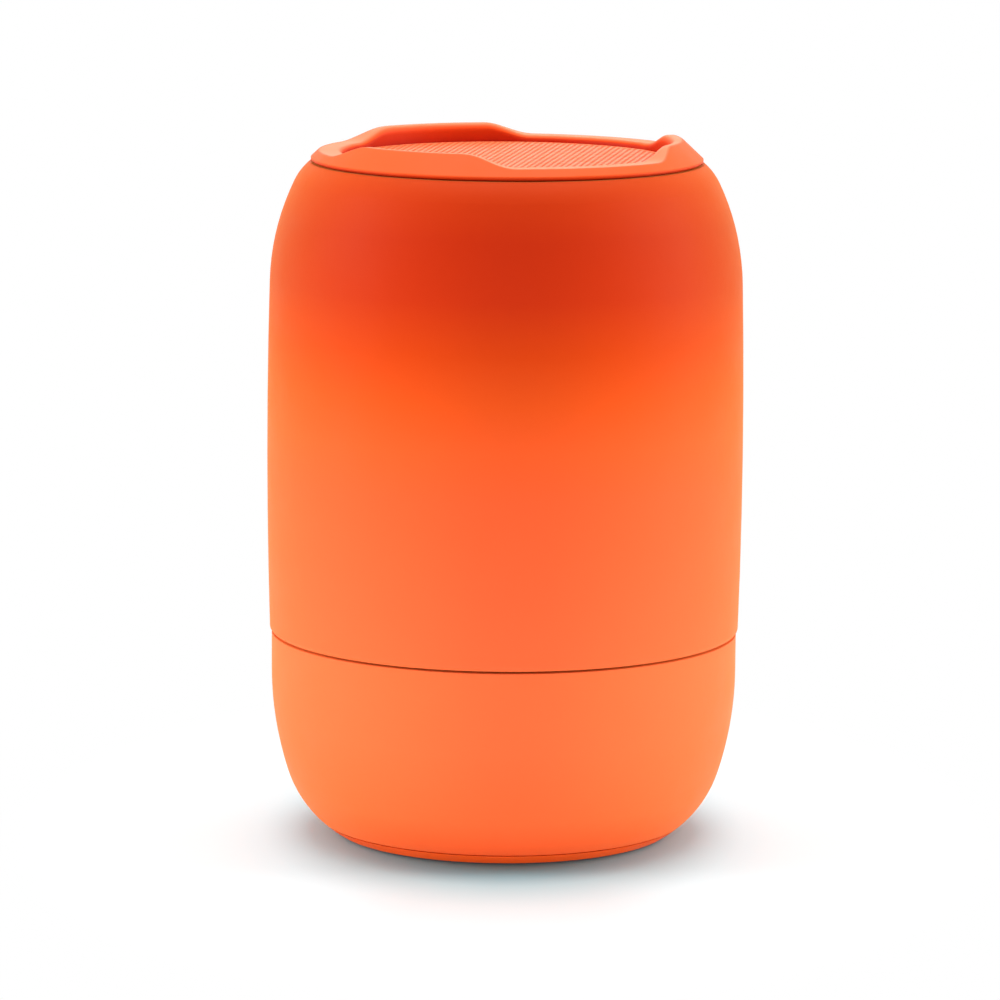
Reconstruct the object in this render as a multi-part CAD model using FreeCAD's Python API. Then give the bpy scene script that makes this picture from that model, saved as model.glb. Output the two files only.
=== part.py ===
import FreeCAD, Part
import math
import os

# Portable bluetooth speaker: a barrel-shaped drum on a cup, with one driver that faces up
# under a perforated disc. Millimetres, +Z up, origin on the table below the middle of the foot.
# The back, with the buttons and the sockets, faces +Y.

V = FreeCAD.Vector
UP = V(0, 0, 1)
BACK = V(0, 1, 0)

# ---- driving dimensions -------------------------------------------------------------------
# heights above the table
foot_stand = 0.5            # the cap's edge above the table
base_seam_z = 2.6           # top of the base cap's rim
split_z = 38.8              # middle of the seam between cup and drum
waist_z = 73.0              # widest level of the drum
shoulder_z = 105.5          # where the shoulder leaves the long barrel arc
crown_z = 127.85            # top of the drum, under the crown ring

# drum skin
drum_r = 45.0               # at the waist
barrel_bend_r = 1135.0      # the slight bulge of the drum's side
shoulder_bend_r = 46.0
neck_bend_r = 10.9
neck_inset = 7.9            # the drum's top is this much smaller than its waist

# cup skin
cup_step = 0.85             # the cup stays this much inside the drum's waist
cup_bend_z = 31.5           # where the cup's straight side ends
cup_side_bend_r = 63.75
cup_base_bend_r = 20.9
base_inset = 12.1           # from the cup's side to the cap's edge, next to the table

shell_wall = 2.4
seam_gap = 0.4
seam_edge_round = 0.8
fit_gap = 0.3               # between neighbours that are only placed
slide_gap = 0.2             # round a piece that travels in a hole

crown_r = drum_r - neck_inset
cup_r = drum_r - cup_step
base_r = cup_r - base_inset

# crown ring
ring_step = 0.25            # the ring stays this much inside the drum's top edge
ring_w = 6.05
ring_gap = 0.25             # shadow line under the ring
ring_lead = 0.3
lobe_count = 3
lobe_turn = -2.8            # degrees from +X to the middle of the first lobe
lobe_flat = 19.2            # half the level top of a lobe, degrees
lobe_ramp = 16.1            # slope at each end of a lobe, degrees
lobe_top = 4.55             # above the drum
land_top = 2.21             # the low stretches between the lobes
wave_steps = 90             # places that fix the wavy top
wave_parts = 9
rim_face = 0.92             # upright band at the ring's foot
rim_lean = 1.07             # inward run per unit of rise above that band
crest_round = 0.5           # outer edge of the ring's top
bore_round = 1.2            # inner edge of the ring's top
rim_spigot_h = 3.5
crown_hook_h = 1.0
crown_hook_reach = 0.8
crown_hook_w = 14.0         # degrees
ring_r = crown_r - ring_step
rim_bore_r = ring_r - ring_w

# grille
grille_t = 0.8
grille_proud = 1.0          # its face above the drum's top
grille_edge_gap = 0.15
grille_ledge = 2.5
grille_ledge_t = 1.5
grille_pitch = 3.9
grille_hole_r = 1.15
grille_border = 2.2
grille_row_turn = 20.0      # degrees
cloth_t = 0.3

# driver
baffle_z = 119.3            # top of the shelf that carries the driver
baffle_t = 3.0
gusset_h = 14.0             # webs under the shelf
driver_boss_r = 2.8
driver_boss_h = 9.0
rib_t = 1.6
driver_r = 32.0
driver_gasket_t = 0.8
driver_flange_t = 1.2
driver_screw_circle_r = 29.4
driver_cutout_r = 26.8
basket_r = 26.0
basket_floor_r = 19.0
basket_floor_z = 103.3
basket_t = 1.0
basket_window = 58.0        # degrees
surround_in_r = 20.8
surround_out_r = 25.0
surround_lip = 1.6
surround_t = 0.5
cone_t = 0.5
cone_neck_z = 110.6
former_r = 10.0
former_t = 0.25
former_h = 15.0
winding_t = 0.35
winding_h = 5.4
magnet_gap = 0.4
dust_cap_r = 12.4
dust_cap_rise = 3.2
dust_cap_t = 0.4
spider_z = 107.2
spider_r = 17.6
spider_t = 0.4
spider_wave = 0.8
plate_r = 19.5
plate_t = 3.0
magnet_r = 22.5
magnet_bore_r = 12.6
magnet_t = 9.0
pole_vent_r = 2.5

# bulkhead between the drum and the cup
bulkhead_z = 41.5
bulkhead_t = 2.5
gasket_t = 1.2
gasket_w = 1.6
chamber_boss_r = 3.4
chamber_boss_h = 14.0
chamber_screw_inset = 8.7   # from the drum's waist
chamber_screw_turn = 15.0   # degrees from +X
cup_post_r = 4.4
cup_post_inset = 14.65      # from the cup's side
cup_post_turn = 50.0        # degrees from +X
counterbore_r = 3.1
counterbore_z = 31.0
cup_floor_t = 2.5
tongue_t = 1.2
tongue_h = 4.0
blind_boss_h = 9.0
rib_h = 3.0
grommet_inset = 13.0        # from the drum's waist
grommet_r = 2.6
grommet_lip = 0.8
wire_play = 0.15            # round the wires in the grommet
cable_inset = 6.6           # from the drum's waist
cable_upper_bend = 12.0     # above the bulkhead
cable_lower_bend = 5.0
chamber_screw_circle_r = drum_r - chamber_screw_inset
cup_post_circle_r = cup_r - cup_post_inset
grommet_y = grommet_inset - drum_r

# base cap and foot
cap_peg_r = 1.5
cap_peg_h = 2.0
cap_peg_inset = 11.05       # from the cap's edge
foot_inset = 3.05           # from the cap's edge
foot_t = 1.5
foot_edge = 0.3
foot_r = base_r - foot_inset
cap_peg_circle_r = base_r - cap_peg_inset

# screws
screw_r = 1.5
screw_hole_r = 1.75
thread_gap = 0.05           # threads are left out: a screw fills its hole but for this
screw_head_r = 2.7
screw_head_h = 1.9
small_screw_r = 1.0
small_hole_r = 1.2
small_head_r = 1.9
small_head_h = 1.3
screw_end_gap = 2.0         # between a screw's tip and the end of its blind hole
bulkhead_screw_len = 12.0
driver_screw_len = 8.0
board_screw_len = 5.5
control_screw_len = 5.0

# battery
cell_r = 9.2
cell_room = 11.65           # from each end of the cell to the cup's side
cell_len = 2 * (cup_r - cell_room)
cell_tip_r = 3.2
cell_tip_h = 1.0
cradle_t = 1.2
cradle_half_w = 7.0
cradle_stop_t = 1.4
cradle_stop_drop = 5.0      # top of the stops, below the cell's axis
clip_x = 20.0               # the two clips stand this far from the middle
clip_w = 4.0
clip_wall = 1.5
clip_rise = 4.0             # above the cell's axis
wire_r = 0.6
wire_spread = 0.9           # half the distance between the two wires of a pair
wire_bend_r = 2.4
lead_run = 3.5              # the lead's loop past the cell's end
wire_height = 1.9           # a plug's wires above the board

# boards
board_t = 1.2
board_corner_r = 2.0
main_board_room = 13.15     # from its ends to the cup's side
main_board_x = cup_r - main_board_room      # half sizes
main_board_y = 16.5
main_boss_h = 5.0
main_boss_r = 2.6
main_boss_edge = 4.0        # from the board's edges
amp_x = -10.5
amp_half = 3.5
amp_h = 1.0
module_x = 12.5
module_half_w = 6.5
module_half_l = 9.0
module_t = 0.8
module_can_edge = 1.0
module_can_h = 1.8
capacitor_r = 3.6
capacitor_h = 7.5
capacitor_pitch = 8.5
capacitor_x = -5.5          # the middle one of the row
capacitor_y = -10.5
inductor_x = -20.0
inductor_half = 3.0
inductor_h = 2.8
inductor_pitch = 8.0
inductor_y = 0.5            # middle of the pair
inductor_round = 1.2
plug_h = 3.6
plug_half = 4.0
plug_inset = 2.0
plug_deep = 6.0
control_board_inset = 15.55 # from the cup's side to the board's front
control_board_y = cup_r - control_board_inset
control_board_x = 22.0
control_stand_edge = 3.5
control_stand_drop = 4.0    # below the sockets' axis
ribbon_x = -4.0
ribbon_half_w = 6.0
ribbon_t = 0.3
ribbon_bend_r = 2.5
ribbon_drop = 1.0           # under the main board
ribbon_socket_edge = 1.0
side_ribbon_z = 26.0
side_ribbon_h = 4.0
side_ribbon_t = 1.6
control_board_z0 = 10.0
control_board_z1 = 36.3

# sockets behind the flap
port_z = 18.9
pocket_x = 13.5
pocket_z0 = 11.3
pocket_z1 = 23.5
pocket_deep = 8.55
pocket_floor_y = cup_r - pocket_deep
pocket_wall = 1.6
usb_x = -6.0
usb_half_w = 4.47
usb_half_h = 1.63
usb_round = 1.2
jack_x = 6.6
jack_r = 3.0
jack_bore_r = 1.8
jack_len = 14.0
flap_t = 1.6
flap_plug_t = 1.4
flap_plug_rim = 1.2
flap_plug_inset = 1.4       # from the flap's edge to its sealing rim
flap_plug_low = 2.2         # from the flap's lower edge to its sealing rim
anchor_t = 2.2
hinge_gap = 0.5             # between the anchor and the flap's rounded lower edge

# buttons
button_pitch = 11.0
button_z = 32.2
button_half_w = 4.5
button_half_h = 3.6
button_proud = 0.5
button_travel = 0.5
button_lip = 0.8
button_lip_t = 0.8
button_stem_r = 1.6
button_corner_r = 1.5
switch_half = 3.0
switch_h = 3.5
plunger_r = 1.3
plunger_h = 0.9             # how far it stands out of the switch
plunger_in = 1.0

# light and microphone
light_x = 4.0
light_z = 26.45
light_pipe_r = 0.9
mic_hole_r = 0.6
mic_boot_r = 1.1

BUTTONS = ("power", "volume_down", "play", "volume_up")


# ---- plain shapes -------------------------------------------------------------------------
def disc(radius, z0, z1, x=0.0, y=0.0):
    """Upright cylinder between two levels."""
    return Part.makeCylinder(radius, z1 - z0, V(x, y, z0), UP)


def ring(outer, inner, z0, z1, x=0.0, y=0.0):
    return disc(outer, z0, z1, x, y).cut(disc(inner, z0 - 1, z1 + 1, x, y))


def block(x0, x1, y0, y1, z0, z1):
    return Part.makeBox(x1 - x0, y1 - y0, z1 - z0, V(x0, y0, z0))


def peg(radius, x, z, y0, y1):
    """Cylinder that runs front to back."""
    return Part.makeCylinder(radius, y1 - y0, V(x, y0, z), BACK)


def fuse(*shapes):
    return shapes[0].multiFuse(list(shapes[1:])).removeSplitter()


def polar(radius, degrees):
    return radius * math.cos(math.radians(degrees)), radius * math.sin(math.radians(degrees))


def quarter_turns(first, count=4):
    return [first + 360.0 * k / count for k in range(count)]


def revolved(edges):
    """Turn a closed outline in the XZ half-plane about the Z axis."""
    face = Part.Face(Part.Wire(edges))
    return face.revolve(V(0, 0, 0), UP, 360)


def lines(*points):
    """Straight edges through (radius, height) points."""
    places = [V(r, 0, z) for r, z in points]
    return [Part.makeLine(a, b) for a, b in zip(places, places[1:])]


def turned(*points):
    """Solid of revolution from the corners of its half section."""
    return revolved(lines(*points, points[0]))


def tapped_screw(x, y, seat_z, length, shank, head, head_h):
    """Pan-head screw that points up, with its head under seat_z."""
    return disc(shank, seat_z, seat_z + length, x, y).fuse(disc(head, seat_z - head_h, seat_z, x, y))


# ---- skins: two tangent arcs each ---------------------------------------------------------
class Skin:
    """A side that starts tangent to a first arc or line and ends at a given point.

    start is where the bends begin and lean its outward direction there, sign is +1 for a skin
    that closes upwards and -1 for one that closes downwards.
    """

    def __init__(self, start, lean, first_r, second_r, end, sign):
        self.sign = sign
        self.first_r = first_r
        self.second_r = second_r
        self.lean = lean
        sx, sz = start[0], start[1] * sign
        ex, ez = end[0], end[1] * sign
        ax = sx - first_r * math.cos(lean)
        az = sz - first_r * math.sin(lean)
        reach = math.hypot(ex - ax, ez - az)
        step = first_r - second_r
        turn = math.acos((step ** 2 + reach ** 2 - second_r ** 2) / (2 * step * reach))
        self.join = math.atan2(ez - az, ex - ax) - turn
        bx = ax + step * math.cos(self.join)
        bz = az + step * math.sin(self.join)
        self.finish = math.atan2(ez - bz, ex - bx)
        self.first = (ax, az * sign)
        self.second = (bx, bz * sign)

    def point(self, centre, radius, angle):
        return V(centre[0] + radius * math.cos(angle), 0, centre[1] + self.sign * radius * math.sin(angle))

    def arc(self, centre, radius, a0, a1):
        middle = self.point(centre, radius, (a0 + a1) / 2)
        return Part.Arc(self.point(centre, radius, a0), middle, self.point(centre, radius, a1)).toShape()

    def bends(self, inset, stop_z):
        """The two arcs, moved inwards by inset, up to the level stop_z."""
        end = math.asin((stop_z - self.second[1]) * self.sign / (self.second_r - inset))
        first = self.arc(self.first, self.first_r - inset, self.lean, self.join)
        return [first, self.arc(self.second, self.second_r - inset, self.join, end)]

    def radius_at(self, z, inset=0.0):
        """Radius of the skin at a level on either bend."""
        for centre, bend in ((self.second, self.second_r), (self.first, self.first_r)):
            sine = (z - centre[1]) * self.sign / (bend - inset)
            if math.sin(self.join) <= sine or centre is self.first:
                return centre[0] + (bend - inset) * math.sqrt(1 - sine ** 2)


barrel_centre = (drum_r - barrel_bend_r, waist_z)
shoulder_lean = math.asin((shoulder_z - waist_z) / barrel_bend_r)
shoulder_start = (barrel_centre[0] + barrel_bend_r * math.cos(shoulder_lean), shoulder_z)
drum_skin = Skin(shoulder_start, shoulder_lean, shoulder_bend_r, neck_bend_r, (crown_r, crown_z), 1)
cup_skin = Skin((cup_r, cup_bend_z), 0.0, cup_side_bend_r, cup_base_bend_r, (base_r, foot_stand), -1)


def barrel_arc(inset, z0):
    """The drum's long side arc from z0 up to the shoulder."""
    bend = barrel_bend_r - inset
    return drum_skin.arc(barrel_centre, bend, math.asin((z0 - waist_z) / bend), shoulder_lean)


def drum_outline(inset, z0, z1):
    """Edges of the drum's side from z0 up to z1, and their two ends."""
    side = barrel_arc(inset, z0)
    side_edges = [side] + drum_skin.bends(inset, z1)
    return side_edges, side.firstVertex(True).Point, side_edges[-1].lastVertex(True).Point


def cup_solid(inset, z0, z1):
    """Solid cup between two levels, with its skin moved inwards by inset."""
    bends = cup_skin.bends(inset, z0)
    foot = bends[-1].lastVertex(True).Point
    rim = bends[0].firstVertex(True).Point
    closing = lines((foot.x, foot.z), (0, foot.z), (0, z1), (rim.x, z1), (rim.x, rim.z))
    return revolved(bends + closing)


# ---- housings -----------------------------------------------------------------------------
drum_z0 = split_z + seam_gap / 2
cup_z1 = split_z - seam_gap / 2
bulkhead_top = bulkhead_z + bulkhead_t
gasket_top = bulkhead_top + gasket_t
drum_bore_r = barrel_centre[0] + math.sqrt((barrel_bend_r - shell_wall) ** 2 - (drum_z0 - waist_z) ** 2)
bulkhead_r = drum_bore_r - fit_gap
crown_bore_r = rim_bore_r + grille_ledge + slide_gap
lip_t = rim_spigot_h - crown_hook_h - fit_gap
lip_z = crown_z - lip_t
cup_floor_z = base_seam_z + cup_floor_t
driver_boss_z = baffle_z - driver_boss_h


def make_upper_housing():
    outside, low, high = drum_outline(0, drum_z0, crown_z)
    inside, low_in, high_in = drum_outline(shell_wall, drum_z0, lip_z)
    top = lines((high.x, high.z), (crown_bore_r, crown_z), (crown_bore_r, lip_z), (high_in.x, lip_z))
    bottom = lines((low_in.x, low_in.z), (low.x, low.z))
    shell = revolved(outside + top + inside[::-1] + bottom)
    rim = [e for e in shell.Edges if abs(e.BoundBox.ZMax - drum_z0) < 1e-6 and e.BoundBox.XMax > low.x - 0.1]
    shell = shell.makeFillet(seam_edge_round, rim)
    shelf_r = drum_skin.radius_at(baffle_z) - shell_wall / 2
    shelf = ring(shelf_r, driver_cutout_r, baffle_z - baffle_t, baffle_z)
    step = ring(drum_bore_r + shell_wall / 2, bulkhead_r - gasket_w - fit_gap, gasket_top, gasket_top + 2.0)
    bosses = []
    pilots = []
    for turn in quarter_turns(45):
        x, y = polar(driver_screw_circle_r, turn)
        bosses.append(disc(driver_boss_r, driver_boss_z, baffle_z - baffle_t / 2, x, y))
        pilots.append(disc(small_screw_r + thread_gap, driver_boss_z + 1, baffle_z + 1, x, y))
    for turn in quarter_turns(chamber_screw_turn):
        x, y = polar(chamber_screw_circle_r, turn)
        bosses.append(disc(chamber_boss_r, bulkhead_top, bulkhead_top + chamber_boss_h, x, y))
        web = block(chamber_screw_circle_r, drum_bore_r + shell_wall / 2, -rib_t / 2, rib_t / 2,
                    gasket_top, bulkhead_top + chamber_boss_h)
        web.rotate(V(0, 0, 0), UP, turn)
        bosses.append(web)
        pilots.append(disc(screw_r + thread_gap, bulkhead_top - 1, bulkhead_top + chamber_boss_h - 2, x, y))
    gussets = []
    for turn in quarter_turns(0, 8):
        gusset = block(driver_cutout_r + 1, shelf_r, -rib_t / 2, rib_t / 2, baffle_z - gusset_h,
                       baffle_z - baffle_t / 2)
        top_corner = V(driver_cutout_r, 0, baffle_z - baffle_t)
        low_corner = V(driver_cutout_r, 0, baffle_z - gusset_h - 1)
        wall_corner = V(shelf_r, 0, baffle_z - gusset_h - 1)
        outline = Part.makePolygon([top_corner, wall_corner, low_corner, top_corner])
        wedge = Part.Face(outline).extrude(V(0, 4, 0))
        wedge.translate(V(0, -2, 0))
        gusset = gusset.cut(wedge)
        gusset.rotate(V(0, 0, 0), UP, turn + 22.5)
        gussets.append(gusset)
    housing = fuse(shell, shelf, step, *bosses, *gussets)
    housing = housing.cut(Part.makeCompound(pilots))
    return housing


def button_places():
    first = -button_pitch * (len(BUTTONS) - 1) / 2
    return [first + button_pitch * k for k in range(len(BUTTONS))]


def button_prism(half_w, half_h, x, y0, y1, corner):
    """Prism along Y with rounded corners, for a key or its window."""
    prism = block(x - half_w, x + half_w, y0, y1, button_z - half_h, button_z + half_h)
    return prism.makeFillet(corner, [e for e in prism.Edges if abs(e.BoundBox.YLength - (y1 - y0)) < 1e-6])


def usb_prism(grow, y0, y1):
    half_w = usb_half_w + grow
    half_h = usb_half_h + grow
    prism = block(usb_x - half_w, usb_x + half_w, y0, y1, port_z - half_h, port_z + half_h)
    corners = [e for e in prism.Edges if abs(e.BoundBox.YLength - (y1 - y0)) < 1e-6]
    return prism.makeFillet(usb_round + grow, corners)


def make_lower_housing():
    outer = cup_solid(0, base_seam_z, cup_z1)
    shell = outer.cut(cup_solid(shell_wall, cup_floor_z, cup_z1 + 1))
    added = []
    holes = []
    for turn in (cup_post_turn, 180 - cup_post_turn, 180 + cup_post_turn, -cup_post_turn):
        x, y = polar(cup_post_circle_r, turn)
        added.append(disc(cup_post_r, base_seam_z, bulkhead_z, x, y))
        holes.append(disc(counterbore_r, base_seam_z - 1, counterbore_z, x, y))
        holes.append(disc(screw_hole_r, base_seam_z - 1, bulkhead_z + 1, x, y))
    for turn in quarter_turns(90, 3):
        holes.append(disc(cap_peg_r + thread_gap, base_seam_z - 1, base_seam_z + cap_peg_h + 0.1,
                          *polar(cap_peg_circle_r, turn)))
    well = block(-pocket_x - pocket_wall, pocket_x + pocket_wall, pocket_floor_y - pocket_wall, cup_r,
                 pocket_z0 - pocket_wall, pocket_z1 + pocket_wall)
    added.append(well.common(outer))
    for side in (-1, 1):
        stand_x = side * (control_board_x - control_stand_edge)
        stand_z = port_z - control_stand_drop
        stand = peg(main_boss_r, stand_x, stand_z, control_board_y + board_t, cup_r)
        added.append(stand.common(outer))
        holes.append(peg(small_screw_r + thread_gap, stand_x, stand_z, control_board_y,
                         control_board_y + control_screw_len + 1))
    holes.append(block(-pocket_x, pocket_x, pocket_floor_y, cup_r + 1, pocket_z0, pocket_z1))
    holes.append(usb_prism(slide_gap, pocket_floor_y - 3, pocket_floor_y + 1))
    holes.append(peg(jack_r + slide_gap, jack_x, port_z, pocket_floor_y - 3, pocket_floor_y + 1))
    for x in button_places():
        window = button_prism(button_half_w + slide_gap, button_half_h + slide_gap, x,
                              control_board_y, cup_r + 1, button_corner_r + slide_gap)
        holes.append(window)
    holes.append(peg(light_pipe_r + slide_gap / 2, light_x, light_z, control_board_y, cup_r + 1))
    holes.append(peg(mic_hole_r, -light_x, light_z, control_board_y, cup_r + 1))
    return fuse(shell, *added).cut(Part.makeCompound(holes))


def make_base_cap():
    edge = cup_skin.radius_at(base_seam_z)
    disc_solid = cup_solid(0, foot_stand, base_seam_z + 1)
    cap = disc_solid.common(disc(edge + 1, 0, base_seam_z))
    groove = ring(edge + 1, edge - 1.2, base_seam_z - 0.25, base_seam_z + 1)
    recess = disc(foot_r + slide_gap, 0, foot_t)
    pegs = []
    for turn in quarter_turns(90, 3):
        x, y = polar(cap_peg_circle_r, turn)
        pegs.append(disc(cap_peg_r, base_seam_z - 0.5, base_seam_z + cap_peg_h, x, y))
    return fuse(cap.cut(groove).cut(recess), *pegs)


def make_foot_pad():
    pad = disc(foot_r, 0, foot_t)
    return pad.makeChamfer(foot_edge, [e for e in pad.Edges if abs(e.BoundBox.ZMax) < 1e-6])


# ---- crown ring and grille ----------------------------------------------------------------
grille_top = crown_z + grille_proud
ledge_z = grille_top - grille_t - cloth_t
spigot_r = rim_bore_r + grille_ledge
spigot_z = crown_z - rim_spigot_h


def lobe_height(degrees):
    """Height of the ring's top edge above the drum, with smooth ramps between lobe and land."""
    sector = 360.0 / lobe_count
    off_centre = abs((degrees - lobe_turn + sector / 2) % sector - sector / 2)
    ramp = min(max((off_centre - lobe_flat) / lobe_ramp, 0.0), 1.0)
    return lobe_top - (lobe_top - land_top) * ramp * ramp * (3 - 2 * ramp)


def wavy_curve(radius):
    """Closed curve at a radius that follows the ring's top."""
    points = []
    for k in range(wave_steps):
        degrees = 360.0 * k / wave_steps
        x, y = polar(radius, degrees)
        points.append(V(x, y, crown_z + lobe_height(degrees)))
    curve = Part.BSplineCurve()
    curve.interpolate(Points=points, PeriodicFlag=True, Parameters=[float(k) for k in range(wave_steps + 1)])
    return curve


def sector_block(inner, outer, z0, z1, middle, width):
    """Part of a ring, width degrees wide about the direction middle."""
    section = Part.Face(Part.Wire(lines((inner, z0), (outer, z0), (outer, z1), (inner, z1), (inner, z0))))
    piece = section.revolve(V(0, 0, 0), UP, width)
    piece.rotate(V(0, 0, 0), UP, middle - width / 2)
    return piece


def make_crown_ring():
    """Ring turned with a tall cone, cut down to the three lobes and rounded along both top edges."""
    seat_r = ring_r - 1.0
    ledge_r = rim_bore_r - grille_ledge
    foot_z = crown_z + ring_gap
    blank_z = crown_z + lobe_top + 1.5
    blank_r = ring_r - rim_lean * (blank_z - crown_z - rim_face)
    body = turned((rim_bore_r, blank_z), (blank_r, blank_z), (ring_r, crown_z + rim_face),
                  (ring_r, foot_z + ring_lead), (ring_r - ring_lead, foot_z), (seat_r, foot_z),
                  (seat_r, crown_z), (spigot_r, crown_z), (spigot_r, spigot_z), (rim_bore_r, spigot_z),
                  (rim_bore_r, ledge_z - grille_ledge_t), (ledge_r, ledge_z - grille_ledge_t),
                  (ledge_r, ledge_z), (rim_bore_r, ledge_z))
    inner = wavy_curve(rim_bore_r - 2)
    outer = wavy_curve(ring_r + 2)
    above = []
    for k in range(wave_parts):
        ends = (wave_steps * k / wave_parts, wave_steps * (k + 1) / wave_parts)
        strip = Part.makeRuledSurface(inner.toShape(*ends), outer.toShape(*ends))
        above.append(strip.extrude(V(0, 0, 8)))
    body = body.cut(above).Solids[0]
    for surface, size in (("Cylinder", bore_round), ("Cone", crest_round)):
        edges = []
        for face in body.Faces:
            if face.Surface.TypeId == "Part::Geom" + surface and face.BoundBox.ZMax > crown_z + lobe_top - 1:
                edges += [e for e in face.Edges if e.BoundBox.ZMin > crown_z + land_top - 0.1]
        body = body.makeFillet(size, edges)
    hooks = [sector_block(spigot_r - 0.5, spigot_r + crown_hook_reach, spigot_z,
                          spigot_z + crown_hook_h, turn, crown_hook_w) for turn in quarter_turns(30, 3)]
    return body.multiFuse(hooks)


def grille_holes(radius):
    """Centres of a staggered pattern inside a radius."""
    rows = int(radius / (grille_pitch * math.sqrt(0.75))) + 1
    centres = []
    for row in range(-rows, rows + 1):
        for column in range(-rows - 2, rows + 3):
            x = (column + (row % 2) / 2) * grille_pitch
            y = row * grille_pitch * math.sqrt(0.75)
            if math.hypot(x, y) < radius:
                centres.append((x, y))
    return centres


def make_top_grille():
    radius = rim_bore_r - grille_edge_gap
    plate = disc(radius, grille_top - grille_t, grille_top)
    holes = []
    for x, y in grille_holes(radius - grille_border):
        corners = [V(*polar(grille_hole_r, 60 * k), 0) + V(x, y, grille_top - grille_t - 1) for k in range(7)]
        holes.append(Part.Face(Part.makePolygon(corners)).extrude(V(0, 0, grille_t + 2)))
    plate = plate.cut(Part.makeCompound(holes))
    plate.rotate(V(0, 0, 0), UP, grille_row_turn)
    return plate


# ---- driver -------------------------------------------------------------------------------
flange_z = baffle_z + driver_gasket_t
rim_z = flange_z + driver_flange_t
coil_r = former_r + former_t + winding_t
plate_bore_r = coil_r + magnet_gap
magnet_z1 = basket_floor_z - plate_t
magnet_z0 = magnet_z1 - magnet_t
neck_r = former_r + former_t
coil_middle_z = basket_floor_z - plate_t / 2
former_z0 = coil_middle_z - winding_h / 2 - 0.3
glue_r = surround_in_r - surround_lip
cone_slope = (rim_z - cone_t - cone_neck_z) / (glue_r - neck_r)


def basket_radius(z):
    """Outer radius of the basket's wall at a level."""
    share = (z - basket_floor_z) / (flange_z - basket_floor_z)
    return basket_floor_r + (basket_r - basket_floor_r) * share


def make_driver_frame():
    floor_top = basket_floor_z + basket_t
    wall_in = basket_radius(spider_z) - basket_t
    ledge_r = spider_r - 1.2
    frame = turned((driver_r, rim_z), (driver_r, flange_z), (basket_r, flange_z),
                   (basket_floor_r, basket_floor_z), (plate_bore_r + 0.8, basket_floor_z),
                   (plate_bore_r + 0.8, floor_top), (basket_radius(floor_top) - basket_t, floor_top),
                   (basket_radius(spider_z - 1) - basket_t, spider_z - 1), (ledge_r, spider_z - 1),
                   (ledge_r, spider_z), (wall_in, spider_z), (basket_r - basket_t, flange_z),
                   (basket_r - basket_t, rim_z))
    cuts = []
    for turn in quarter_turns(45):
        cuts.append(sector_block(spider_r + 0.6, driver_r, spider_z + 1.5, flange_z - 1.5,
                                 turn, basket_window))
        x, y = polar(driver_screw_circle_r, turn)
        cuts.append(disc(small_hole_r, flange_z - 1, rim_z + 1, x, y))
    return frame.cut(Part.makeCompound(cuts))


def make_driver_gasket():
    gasket = ring(driver_r - 0.5, basket_r + 0.9, baffle_z, flange_z)
    holes = [disc(small_hole_r, baffle_z - 1, rim_z, *polar(driver_screw_circle_r, turn))
             for turn in quarter_turns(45)]
    return gasket.cut(Part.makeCompound(holes))


def make_driver_screws():
    screws = []
    for turn in quarter_turns(45):
        x, y = polar(driver_screw_circle_r, turn)
        screw = disc(small_screw_r, rim_z - driver_screw_len, rim_z, x, y).fuse(
            disc(small_head_r, rim_z, rim_z + small_head_h, x, y))
        screws.append(screw)
    return Part.makeCompound(screws)


def make_surround():
    roll = (surround_out_r - surround_in_r) / 2
    middle = (surround_out_r + surround_in_r) / 2
    top = rim_z + surround_t
    outer_run = math.sqrt((roll + surround_t) ** 2 - surround_t ** 2)
    under = Part.Arc(V(surround_in_r, 0, rim_z), V(middle, 0, rim_z + roll), V(surround_out_r, 0, rim_z))
    over = Part.Arc(V(middle + outer_run, 0, top), V(middle, 0, top + roll), V(middle - outer_run, 0, top))
    edges = lines((glue_r, rim_z), (surround_in_r, rim_z)) + [under.toShape()]
    edges += lines((surround_out_r, rim_z), (surround_out_r + surround_lip, rim_z),
                   (surround_out_r + surround_lip, top), (middle + outer_run, top))
    edges += [over.toShape()] + lines((middle - outer_run, top), (glue_r, top), (glue_r, rim_z))
    return revolved(edges)


def make_speaker_cone():
    neck_top = cone_neck_z + 1.6 * cone_t
    return turned((neck_r, cone_neck_z), (glue_r, rim_z - cone_t), (surround_in_r, rim_z - cone_t),
                  (surround_in_r, rim_z), (glue_r, rim_z), (neck_r, neck_top))


def make_dust_cap():
    seat_z = cone_neck_z + 1.6 * cone_t + cone_slope * (dust_cap_r - neck_r) + dust_cap_t / 2
    dome_r = (dust_cap_r ** 2 + dust_cap_rise ** 2) / (2 * dust_cap_rise)
    centre = seat_z + dust_cap_rise - dome_r
    half = math.asin(dust_cap_r / dome_r)

    def dome(radius, start, end):
        angles = (start, (start + end) / 2, end)
        places = [V(radius * math.sin(a), 0, centre + radius * math.cos(a)) for a in angles]
        return Part.Arc(*places).toShape()

    outer = dome(dome_r, half, 0)
    inner = dome(dome_r - dust_cap_t, 0, half)
    top = Part.makeLine(V(0, 0, centre + dome_r), V(0, 0, centre + dome_r - dust_cap_t))
    edge = Part.makeLine(inner.lastVertex(True).Point, outer.firstVertex(True).Point)
    return revolved([outer, top, inner, edge])


def make_spider():
    """Corrugated cloth disc between the former and its ledge in the basket."""
    waves = 3
    run = (spider_r - 1.2 - neck_r - 0.6) / (2 * waves)
    under = [(neck_r, spider_z)]
    for k in range(2 * waves + 1):
        under.append((neck_r + 0.6 + run * k, spider_z + (spider_wave if k % 2 else 0)))
    under.append((spider_r, spider_z))
    over = [(r, z + spider_t) for r, z in reversed(under)]
    return turned(*under, *over)


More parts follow.
